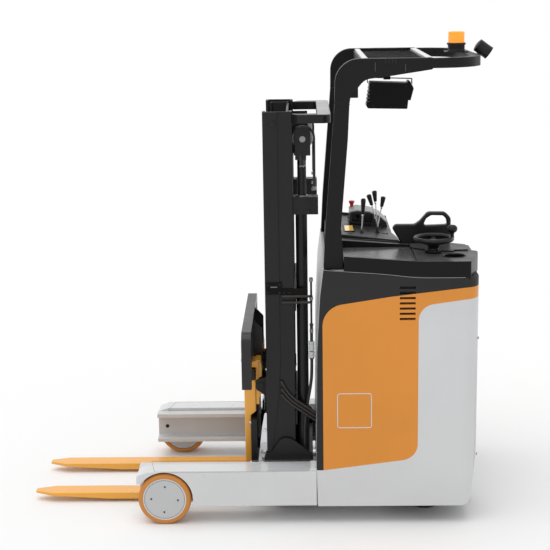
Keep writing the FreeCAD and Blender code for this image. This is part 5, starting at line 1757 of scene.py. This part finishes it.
@dataclass
class Beacon(Assembly):
    """The amber warning beacon on its ribbed base."""

    centre: Pair = (-696, 0)
    plate_low: float = 2194.6
    base_foot: float = 2199.3
    base_top: float = 2229.3
    lens_foot: float = 2239.3
    lens_top: float = 2292.3
    lens_radius: float = 39.5
    collar_radius: float = 46
    base_radius: float = 41.5
    ribs: int = 3
    bands: int = 7

    def build(self) -> None:
        """Turn the ribbed base and the banded lens, and fix the base's plate."""
        x, y = self.centre
        base = Workpiece("beacon_foot")
        base.block((x - 54, -46, self.plate_low), (x + 56, 46, self.base_foot))
        rise, wide, collar = self.base_top - self.base_foot, self.base_radius, self.collar_radius
        outline = [(0, wide + 1.2), (3, wide + 1.2), (4, wide)]
        for rib in range(self.ribs):
            level = 8 + rib * 7
            outline += [(level, wide), (level + 1, wide - 1.6), (level + 3, wide - 1.6),
                        (level + 4, wide)]
        outline += [(rise, wide), (rise + 1, collar), (rise + 6, collar),
                    (rise + 8, collar - 2), (rise + 10, collar - 2), (rise + 10, 20)]
        base.lathe(outline, (x, y, self.base_foot), UP, 96)
        self.dress(base, "black_moulding", replaces=["beacon_base"], roll=0.6)
        lens = Workpiece("beacon_cap")
        height, radius = self.lens_top - self.lens_foot, self.lens_radius
        outline = [(0, radius - 0.8), (1, radius)]
        for band in range(self.bands):
            level = 3 + band * (height - 9) / self.bands
            outline += [(level, radius), (level + 1.2, radius - 0.7), (level + 2.4, radius)]
        outline += [(height - 4, radius), (height - 1.2, radius - 1), (height, radius - 4),
                    (height, radius - 12), (height - 1.5, radius - 14), (height - 1.5, 4)]
        lens.lathe(outline, (x, y, self.lens_foot), UP, 96)
        self.dress(lens, "amber_lens", replaces=["beacon_lens"], roll=0)
        screws = Workpiece("beacon_screws")
        screws.sockets([(x + u, v, self.base_foot) for u in (-47, 50) for v in (-38, 38)],
                       UP, 4, 2)
        self.dress(screws, "bright_steel", Finishes.ZINC, roll=0.2)


@dataclass
class RearLamp(Assembly):
    """The round spot lamp behind the roof, with its lens, ring and cooling fins."""

    start: Point = (-796.5, 0, 2228)
    aim: Point = (-0.811, 0, -0.585)
    radius: float = 32
    length: float = 70
    fins: int = 4

    def along(self, distance: float) -> Point:
        """The place at a distance along the lamp's axis."""
        return tuple(Vector(self.start) + Vector(self.aim).normalized() * distance)

    def build(self) -> None:
        """Turn the lamp's case, ring, lens and fins, and shape its bracket."""
        case = Workpiece("rear_lamp_case")
        radius, length = self.radius, self.length
        case.lathe([(-4, 14), (-2, 22), (0, radius - 3), (2, radius), (length - 1, radius),
                    (length, radius - 1)], self.start, self.aim, 72)
        case.prism([(-768, 2172), (-800, 2172), (-822, 2186), (-840, 2204), (-826, 2212),
                    (-806, 2196), (-796, 2186), (-768, 2186)], -14, 14)
        self.dress(case, "black_moulding", replaces=["rear_lamp"], roll=1.2, segments=3)
        end = self.along(length - 0.4)
        ring, lens = Workpiece("rear_lamp_ring"), Workpiece("rear_lamp_lens")
        ring.lathe([(-5, radius + 0.8), (0.8, radius + 0.8), (1.6, radius - 0.6),
                    (1.6, radius - 4.5), (-1, radius - 5)], end, self.aim, 72, closed=True)
        self.dress(ring, "black_moulding", roll=0.4)
        lens.lathe([(-2, radius - 4.4), (0.2, radius - 4.4), (1.8, radius * 0.6),
                    (2.4, radius * 0.25)], end, self.aim, 60)
        self.dress(lens, "black_moulding", Finishes.CLEAR, roll=0)
        fins = Workpiece("rear_lamp_fins")
        for step in range(self.fins):
            fins.lathe([(0, radius - 0.4), (0.3, radius + 0.7), (1.9, radius + 0.7),
                        (2.2, radius - 0.4)], self.along(6 + 5 * step), self.aim, 72)
        self.dress(fins, "black_moulding", roll=0)


@dataclass
class WorkLight(Assembly):
    """The work light under the roof: its grooved box, lens, top rail, stem and screws."""

    rail: Profile = ((-266, 2052), (-266, 2080), (-484, 2072), (-484, 2046), (-481, 2046),
                     (-481, 2069), (-269, 2077), (-269, 2052))
    face_screws: Pairs = ((-290, 1950), (-450, 1945), (-290, 2044), (-450, 2038))

    def build(self) -> None:
        """Shape the box with its grooves, the top rail, the side screws and the lens."""
        case, grooves = Workpiece("work_light_case"), Workpiece("work_light_grooves")
        case.prism([(-260, 1944, 4), (-276, 2060, 8), (-468, 2052, 8), (-462, 1966, 8),
                    (-458, 1928, 6), (-268, 1933, 6)], -55, 55)
        for row in range(5):
            grooves.block((-276, -60, 1962 + 18 * row), (-250, 60, 1968 + 18 * row))
        case.combine(grooves, Join.CUT)
        case.prism([(-470, 2062), (-488, 2025), (-474, 1968), (-460, 1970), (-460, 2062)],
                   -47, 47)
        case.block((-378, -20, 2068), (-345, 20, 2150))
        self.dress(case, "charcoal_paint", Finishes.LAMP_BLACK, replaces=["work_light"], roll=2,
                   segments=3)
        rail = Workpiece("work_light_rail")
        rail.prism(self.rail, -20, 20)
        self.dress(rail, "charcoal_paint", roll=0.6)
        screws = Workpiece("work_light_screws")
        for side in SIDES:
            screws.sockets([(x, side * 54.8, z) for x, z in self.face_screws], (0, side, 0),
                           3.4, 1.6)
        self.dress(screws, "black_moulding", roll=0.2)
        lens = Workpiece("work_light_lens")
        lens.prism([(-478, 2054), (-490.5, 2025), (-476, 1974), (-470, 1974), (-470, 2054)],
                   -40, 40)
        self.dress(lens, "black_moulding", Finishes.CLEAR, roll=1.2)


# ---------------------------------------------------------------- mast

@dataclass
class OuterMast(Assembly):
    """The outer mast: rails, ties, the valve block, pipes, hoses and their bright fittings."""

    body: str = "reach_mast"
    rail_face: float = 356
    back_face: float = 350
    block_screws: Pairs = ((166, 1094), (222, 1094), (166, 1132), (222, 1132))
    plate_screws: Pairs = ((119, 1091), (147, 1091))
    mark: Point = (178, 210, 1121)
    slots: Row = (980, 996, 1012, 1028)
    recess_depth: float = 6
    pipe_levels: Row = (1074, 1044.5)
    pipe_radius: float = 6.5
    hose_arc_reach: float = 209
    hose_arc_end: float = -55
    hose_tail: Point = (-0.819, 0, -0.574)
    hose_tail_length: float = 130
    recess: Outline = ((20, 70), (215, 70), (215, 290, 60), (181, 547, 900), (161, 838, 900),
                       (157, 1083), (157, 1960), (20, 1960))
    stack: Pair = (17, 340)
    runs: tuple[Point, ...] = ((5, 933, 1161), (7.5, 1150, 1161), (9, 925, 935), (7.5, 843, 926),
                               (13, 835, 846), (11, 760, 774))
    tail: Profile = ((0, 764), (0, 700), (4, 640), (26, 520), (38, 430), (40, 300), (40, 99))
    hose_centre: Pair = (-44, 733)
    hose_bends: Row = (222.5, 238, 253.5)
    hose_row: float = 356.5
    hose_radius: float = 7.5
    sleeves: Pairs = ((766, 798), (802, 848))
    nuts: Row = (900, 1060, 1150)

    def build(self) -> None:
        """Shape the rails, block, pipes, hoses, sleeves, nuts and bolts."""
        for side, name in SIDES.items():
            recess = Workpiece(f"rail_recess_{name}")
            recess.prism(self.recess, side * (self.rail_face - self.recess_depth),
                         side * (self.rail_face + 4))
            self.shells(f"mast_outer_{name}", edge=1, openings=recess)
        self.shells("mast_ties", edge=2, segments=3)
        # A thin pale plate on the mast bow's top paints the reflection that the top catches.
        top = Workpiece("mast_bow_top_sheen")
        top.prism([(-80, -389, 38), (-80, 389, 38), (-20, 389), (-20, -389)], 1936, 1939.6,
                  Axis.Z)
        self.dress(top, "mast_paint", Finishes.HIGHLIGHT_LINE, roll=0.8)
        self.build_lines()
        self.build_hoses()
        self.build_block()
        self.build_stack()
        self.build_ends()

    def build_lines(self) -> None:
        """Shape the valve block, its plate, the two pipes and the upright pipe with its tail."""
        block, lines = Workpiece("valve_block"), Workpiece("mast_pipe_stack")
        block.block((156, self.rail_face - 1, 1084), (232, self.rail_face + 7, 1142))
        block.block((37, self.rail_face - 6, 1077), (157.5, self.rail_face + 1.5, 1112))
        self.dress(block, "mast_paint", Finishes.LAMP_BLACK, roll=1.5)
        (x, y), out = self.stack, self.rail_face + 3
        for level in self.pipe_levels:
            lines.hose([(u, v, level) for u, v in ((x, y), (x, out - 6), (x + 4, out),
                                                   (x + 14, out), (157, out))], self.pipe_radius)
        for radius, low, high in self.runs:
            lines.rod((x, y, low), (x, y, high), radius)
        lines.hose([(x + shift, y, level) for shift, level in self.tail], self.hose_radius)
        self.dress(lines, "mast_paint", Finishes.HOSE, roll=0)

    def build_hoses(self) -> None:
        """Bend the three hoses that run from the rail down under the deck."""
        for row, bend in enumerate(self.hose_bends):
            hose = Workpiece(f"feed_hose_{row + 1}")
            top = -math.degrees(math.acos(self.hose_arc_reach / bend))
            low = self.hose_arc_end
            route = [(self.hose_centre[0] + bend * math.cos(math.radians(a)), self.hose_row,
                      self.hose_centre[1] + bend * math.sin(math.radians(a)))
                     for a in (top + (low - top) * i / 24 for i in range(25))]
            route.append(tuple(Vector(route[-1]) + Vector(self.hose_tail)
                               * self.hose_tail_length))
            hose.hose(route, self.hose_radius)
            self.dress(hose, "black_moulding", Finishes.HOSE, roll=0)

    def build_block(self) -> None:
        """Fix the valve block and plate and add the block's light mark."""
        screws, mark = Workpiece("valve_block_screws"), Workpiece("valve_block_mark")
        screws.sockets([(x, self.rail_face + 7, z) for x, z in self.block_screws], LEFTWARD,
                       4.5, 2)
        screws.sockets([(x, self.rail_face + 1.5, z) for x, z in self.plate_screws],
                       LEFTWARD, 4.2, 3)
        self.dress(screws, "mast_paint", roll=0.2)
        low, high, level = self.mark
        mark.block((low, self.rail_face + 6.6, level - 2.5),
                   (high, self.rail_face + 7.6, level + 2.5))
        self.dress(mark, "mast_paint", Finishes.MARK, roll=0.4)
        ribs = Workpiece("mast_recess_ribs")
        for level in self.slots:
            ribs.block((106, self.back_face - 3, level - 3),
                       (125, self.back_face - 0.4, level + 3))
        self.dress(ribs, "mast_paint", roll=0.6)

    def build_stack(self) -> None:
        """Add the clear sleeves and the nuts to the upright pipe."""
        x, y = self.stack
        sleeves, nuts = Workpiece("pipe_sleeves"), Workpiece("pipe_nuts")
        for low, high in self.sleeves:
            tall = high - low
            sleeves.lathe([(0, 12), (2, 15.5), (tall * 0.3, 16), (tall * 0.35, 14.6),
                           (tall * 0.62, 14.6), (tall * 0.67, 16), (tall - 2, 15.5),
                           (tall, 12)], (x, y, low), UP, 8)
        self.dress(sleeves, "bright_steel", Finishes.BRIGHT_FITTING, roll=0.5)
        for level in self.nuts:
            nuts.lathe([(-9, 8.4), (-8, 9.6), (8, 9.6), (9, 8.4)], (x, y, level), UP, 6)
        self.dress(nuts, "bright_steel", Finishes.ZINC, roll=0.4)

    def build_ends(self) -> None:
        """Add the bright strips and bolts ahead of the rails' feet and the eye rings' pins."""
        strips, bolts = Workpiece("front_guide_strips"), Workpiece("front_guide_bolts")
        pins = Workpiece("eye_ring_pins")
        for side in SIDES:
            strips.prism([(237.6, 236), (258, 236), (270, 262), (273, 330), (262, 420),
                          (250, 486), (237.6, 490)], side * 320, side * 342)
            bolts.screws([(250, side * 342, 290), (250, side * 342, 402)], (0, side, 0), 17, 11)
            pins.lathe([(-2, 12.6), (1.5, 12.6), (3, 11), (3, 6)],
                       (189, side * 369, 1892), (0, side, 0), 48)
        self.dress(strips, "chrome_rod", Finishes.CHROME, roll=2, segments=3)
        self.dress(bolts, "chrome_rod", Finishes.CHROME, roll=0.5)
        self.dress(pins, "mast_paint", roll=0.4)


@dataclass
class ReachCarriage(Assembly):
    """The reaching cradle with its guide rollers and its cylinder."""

    body: str = "reach_mast"
    roller_reach: Pair = (190, 72)
    roller_height: float = 171.5
    face: float = 427

    def build(self) -> None:
        """Shape the cradle, rollers, rod and cylinder and the rollers' end caps."""
        self.shells("reach_carriage", edge=2.5, segments=3)
        self.shells("guide_rollers", edge=2.5, segments=3)
        self.shells("reach_cylinder", "reach_rod", edge=1)
        caps = Workpiece("guide_roller_caps")
        for side in SIDES:
            for reach in self.roller_reach:
                caps.lathe([(-1, 17), (1.2, 17), (2, 15), (2, 9), (0.5, 8)],
                           (reach, side * self.face, self.roller_height), (0, side, 0), 48)
        self.dress(caps, "bright_steel", Finishes.ZINC, roll=0.3)


@dataclass
class LiftCylinders(Assembly):
    """The pair of lift cylinders with their clamps, end fittings and bright rods."""

    body: str = "reach_mast"
    reach: float = 56
    offset: float = 300
    neck_top: float = 1694
    ends: Pair = (-3, 262)
    end_levels: Row = (1496, 1530, 1578)
    clamp_face: float = 340
    clamp_bolts: Pairs = ((86, 1484), (86, 1536), (24, 1484), (24, 1536))

    def build(self) -> None:
        """Shape the cylinders, their glands and necks, the hose ends and the clamp bolts."""
        self.shells("lift_cylinders", edge=1.5)
        glands, ends = Workpiece("cylinder_glands"), Workpiece("hose_end_fittings")
        necks = Workpiece("cylinder_necks")
        bolts = Workpiece("clamp_bolts")
        for side in SIDES:
            y = side * self.offset
            glands.lathe([(-3, 20.5), (-2, 21.5), (5, 21.5), (6, 20), (6, 15)],
                         (self.reach, y, self.neck_top - 6), UP, 8)
            glands.lathe([(0, 28.6), (6, 28.6), (7, 27)], (self.reach, y, 1546), UP, 48)
            necks.lathe([(0, 18.4), (0, 21), (143, 21), (143, 18.4)], (self.reach, y, 1548),
                        UP, 48, closed=True)
            x, y_end = self.ends[0], side * self.ends[1]
            for level in self.end_levels:
                ends.lathe([(-8, 9.8), (-7, 11.2), (7, 11.2), (8, 9.8)], (x, y_end, level), UP, 6)
            bolts.screws([(along, side * self.clamp_face, level)
                          for along, level in self.clamp_bolts], (0, side, 0), 13, 6)
        self.dress(necks, "mast_paint", roll=0)
        self.dress(glands, "bright_steel", Finishes.ZINC, roll=0.5)
        self.dress(ends, "bright_steel", Finishes.ZINC, roll=0.5)
        self.dress(bolts, "mast_paint", roll=0.4)


@dataclass
class InnerMast(Assembly):
    """The inner mast: rails, crosshead, rollers, grooved sheaves and their pins."""

    body: str = "inner_mast"
    sheave: Pair = (51, 1818)
    sheave_face: float = 282
    cheek_face: float = 316
    cheek: Outline = ((14, 1740), (34, 1740), (34, 1720), (86, 1720), (86, 1740), (92, 1872, 24),
                      (24, 1872, 24), (14, 1850, 16))

    def build(self) -> None:
        """Shape the rails, head, rollers and rods, and the sheaves' faces, pins and cheeks."""
        self.shells("mast_inner_left", "mast_inner_right", "inner_mast_head", edge=2, segments=3)
        self.shells("inner_mast_rollers", edge=1.2)
        # The lift rods are chrome; their darkened colour paints the dark reflection they show.
        self.shells("lift_rods", edge=1, finish=Finishes.SHADED_CHROME)
        faces, pins = Workpiece("sheave_faces"), Workpiece("sheave_pins")
        cheeks = Workpiece("sheave_cheeks")
        x, z = self.sheave
        for side in SIDES:
            for y, way in ((self.sheave_face, side), (self.sheave_face - 40, -side)):
                faces.lathe([(-1, 49), (0.8, 49), (1.6, 47), (1.6, 41), (0.4, 39), (0.4, 26),
                             (2, 24), (2, 18)], (x, side * y, z), (0, way, 0), 72)
            pins.lathe([(-1, 14.6), (3, 14.6), (4, 13.4), (4, 5)],
                       (x, side * self.cheek_face, z), (0, side, 0), 48)
            cheeks.prism(self.cheek, side * (self.cheek_face - 9), side * (self.cheek_face - 1))
        self.dress(cheeks, "mast_paint", roll=2, segments=3)
        self.dress(faces, "bright_steel", Finishes.PALE_MOULDING, roll=0.3)
        self.dress(pins, "bright_steel", Finishes.PALE_MOULDING, roll=0.3)


@dataclass
class Reeving(Assembly):
    """The lift chains and hoses over the sheaves, from the cylinders to the lift carriage."""

    sheave: Pair = (51, 1818)
    wrap_radius: float = 54
    hose_radius: float = 6.5
    hose_row: float = 271
    chain_row: float = 251
    pitch: float = 15.9
    plate_half: float = 6
    plate_thick: float = 2
    foot: float = 1590
    carriage_top: float = 600
    plies: Row = (-5.8, -2.9, 0, 2.9, 5.8)

    def runs(self) -> dict[str, Pair]:
        """Place the two upright runs, behind the sheave and ahead of it.

        Returns:
            Each run's reach and the height of its foot.
        """
        x = self.sheave[0]
        return {"rear": (x - self.wrap_radius, self.foot),
                "front": (x + self.wrap_radius, self.carriage_top)}

    def build(self) -> None:
        """Shape each run and each wrap, on both sides."""
        for side, name in SIDES.items():
            self.build_wrap(side, name)
            for run, (reach, low) in self.runs().items():
                self.build_run(side, f"{run}_{name}", reach, low)

    def build_wrap(self, side: int, name: str) -> None:
        """Bend the hose and the chain over the sheave, on the inner mast.

        Args:
            side: 1 for the left, -1 for the right.
            name: the side's name.
        """
        x, z = self.sheave
        hose = Workpiece(f"hose_wrap_{name}")
        steps = 12
        rings = []
        for i in range(25):
            turn = math.pi * i / 24
            out = Vector((-math.cos(turn), 0, math.sin(turn)))
            middle = Vector((x, side * self.hose_row, z)) + out * self.wrap_radius
            rings.append([spot(*(middle + (out * math.cos(math.tau * k / steps)
                                           + Vector(LEFTWARD) * math.sin(math.tau * k / steps))
                                 * self.hose_radius)) for k in range(steps)])
        hose.skin(rings)
        self.dress(hose, "black_rubber", Finishes.HOSE, roll=0, body="inner_mast")
        chain = Workpiece(f"chain_wrap_{name}")
        links = round(math.pi * self.wrap_radius / self.pitch)
        for link in range(links):
            turn = math.pi * (link + 0.5) / links
            out = Vector((-math.cos(turn), 0, math.sin(turn)))
            self.link(chain, Vector((x, side * self.chain_row, z)) + out * self.wrap_radius,
                      Vector((math.sin(turn), 0, math.cos(turn))), link)
        self.dress(chain, "bright_steel", Finishes.CHAIN, roll=0, body="inner_mast")

    def link(self, work: Workpiece, middle: Vector, along: Vector, count: int) -> None:
        """Add one chain link: its plates and the pin through them.

        Args:
            work: the piece on the bench.
            middle: the link's middle, as (reach, Y, Z).
            along: the way that the chain runs.
            count: the link's number, whose parity picks its plates.
        """
        side = Vector(LEFTWARD)
        out = along.cross(side)
        for ply in self.plies[count % 2::2]:
            rings = []
            for level in (ply - self.plate_thick / 2, ply + self.plate_thick / 2):
                rings.append([spot(*(middle + side * level + along * a * self.pitch
                                     + out * b * self.plate_half))
                              for a, b in ((-0.92, 0.55), (-0.6, 1), (-0.2, 0.72), (0.2, 0.72),
                                           (0.6, 1), (0.92, 0.55), (0.92, -0.55), (0.6, -1),
                                           (0.2, -0.72), (-0.2, -0.72), (-0.6, -1),
                                           (-0.92, -0.55))])
            work.skin(rings)
        pin = middle + along * self.pitch / 2
        work.lathe([(-7.6, 2.6), (7.6, 2.6)], tuple(pin), LEFTWARD, 10)

    def build_run(self, side: int, name: str, reach: float, low: float) -> None:
        """Hang one upright run of hose and chain.

        Args:
            side: 1 for the left, -1 for the right.
            name: the run's name.
            reach: the run's reach.
            low: the height of its foot.
        """
        high = self.sheave[1]
        hose = Workpiece(f"hose_run_{name}")
        levels = [low + (high - low) * i / 24 for i in range(25)]
        steps = 12
        hose.skin([[spot(reach + self.hose_radius * math.cos(math.tau * k / steps),
                         side * self.hose_row + self.hose_radius * math.sin(math.tau * k / steps),
                         level) for k in range(steps)] for level in levels])
        chain = Workpiece(f"chain_run_{name}")
        links = round((high - low) / self.pitch)
        for count in range(links):
            level = high - self.pitch * (count + 0.5)
            self.link(chain, Vector((reach, side * self.chain_row, level)), Vector(UP), count)
        for work, slot, finish in ((hose, "black_rubber", Finishes.HOSE),
                                   (chain, "bright_steel", Finishes.CHAIN)):
            item = work.piece(0)
            dress_only(item, slot, finish)
            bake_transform(item)


@dataclass
class LiftCarriage(Assembly):
    """The lift carriage with its roller plates, and the chain anchors on it."""

    body: str = "lift_frame"
    anchor_reach: float = 105
    anchor_height: float = 600
    anchor_rows: Pair = (244, 258)
    anchor: Profile = ((-9, -46), (9, -46), (9, 16), (5, 24), (-5, 24), (-9, 16))

    def build(self) -> None:
        """Shape the carriage, the chain anchors and their nuts."""
        self.shells("lift_carriage", edge=2, segments=3)
        anchors, nuts = Workpiece("chain_anchors"), Workpiece("chain_anchor_nuts")
        x, z = self.anchor_reach, self.anchor_height
        for side in SIDES:
            low, high = self.anchor_rows
            for y in (side * low, side * high):
                anchors.prism([(x + u, z + w) for u, w in self.anchor], y - 1.5, y + 1.5)
            middle = side * (low + high) / 2
            nuts.lathe([(-9, 4), (9, 4)], (x, middle, z + 10), LEFTWARD, 16)
            nuts.screws([(x, middle, z - 34)], (0, 0, -1), 18, 14)
        self.dress(anchors, "mast_paint", roll=0.5)
        self.dress(nuts, "bright_steel", Finishes.ZINC, roll=0.4)


@dataclass
class Forks(Assembly):
    """The forks and the tilting frame that they hook onto, with its stops and screws."""

    body: str = "fork_set"
    frame_face: float = 318
    screw_rows: Row = (212, 418)
    screw_columns: Row = (45, 280)
    hook_rows: Pair = (160, 254)
    hook: Outline = ((292, 731), (268, 731, 6), (262, 696, 6), (262, 648, 4), (278, 640),
                     (278, 622), (262, 614, 4), (262, 566, 8), (276, 540), (276, 505, 4),
                     (292, 505))

    def build(self) -> None:
        """Shape the forks with their hooks, and their frame with its screws."""
        self.shells("fork_left", "fork_right", edge=4, segments=3, finish=Finishes.ORANGE_STEEL)
        self.shells("fork_frame", edge=2.5, segments=3)
        hooks = Workpiece("fork_hooks")
        for side in SIDES:
            hooks.prism(self.hook, side * self.hook_rows[0], side * self.hook_rows[1])
        self.dress(hooks, "orange_paint", Finishes.ORANGE_STEEL, roll=2)
        screws = Workpiece("fork_frame_screws")
        places = [(self.frame_face, side * y, z) for side in SIDES
                  for y in self.screw_columns for z in self.screw_rows]
        screws.screws(places, AHEAD, 20, 9)
        self.dress(screws, "bright_steel", Finishes.ZINC, roll=0.5)


@dataclass
class Backrest(Assembly):
    """The load backrest with its mounting screws."""

    body: str = "fork_set"
    face: float = 351
    screw_rows: Row = (756,)
    screw_columns: Row = (80, 340)

    def build(self) -> None:
        """Shape the backrest with rolled edges and its screws."""
        soften("load_backrest", 0.004, 3, Finishes.BACKREST, merge=False)
        screws = Workpiece("backrest_screws")
        screws.screws([(self.face, side * y, z) for side in SIDES for y in self.screw_columns
                       for z in self.screw_rows], AHEAD, 18, 8)
        self.dress(screws, "bright_steel", Finishes.ZINC, roll=0.5)


@dataclass
class TiltCylinder(Assembly):
    """The tilt cylinder between the fork frame and the lift carriage."""

    def build(self) -> None:
        """Dress the barrel and the rod."""
        self.shells("tilt_cylinder", edge=1, finish=Finishes.MAST)
        self.shells("tilt_rod", edge=1)


# ---------------------------------------------------------------- the truck


def main() -> None:
    """Build the studio and every sub-assembly, logging each piece's face count."""
    logging.basicConfig(level=logging.INFO, format="%(name)s: %(message)s", stream=sys.stdout)
    bpy.context.scene.view_settings.view_transform = "Standard"
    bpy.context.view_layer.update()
    Studio().build()
    assemblies: list[Assembly] = [LoadLegs(), LoadWheel(side=1), LoadWheel(side=-1), DriveUnit(),
                                  Caster(), BodyShell(), OperatorBay(), ConsoleDeck(), Dash(),
                                  Levers(), StopButton(), GrabHandle(), HelmWheel(),
                                  OverheadGuard(), Beacon(), RearLamp(), WorkLight(), OuterMast(),
                                  ReachCarriage(), LiftCylinders(), InnerMast(), Reeving(),
                                  LiftCarriage(), Forks(), Backrest(), TiltCylinder(),]
    for assembly in assemblies:
        log.info("building %s", type(assembly).__name__)
        assembly.build()


if __name__ == "__main__":
    main()
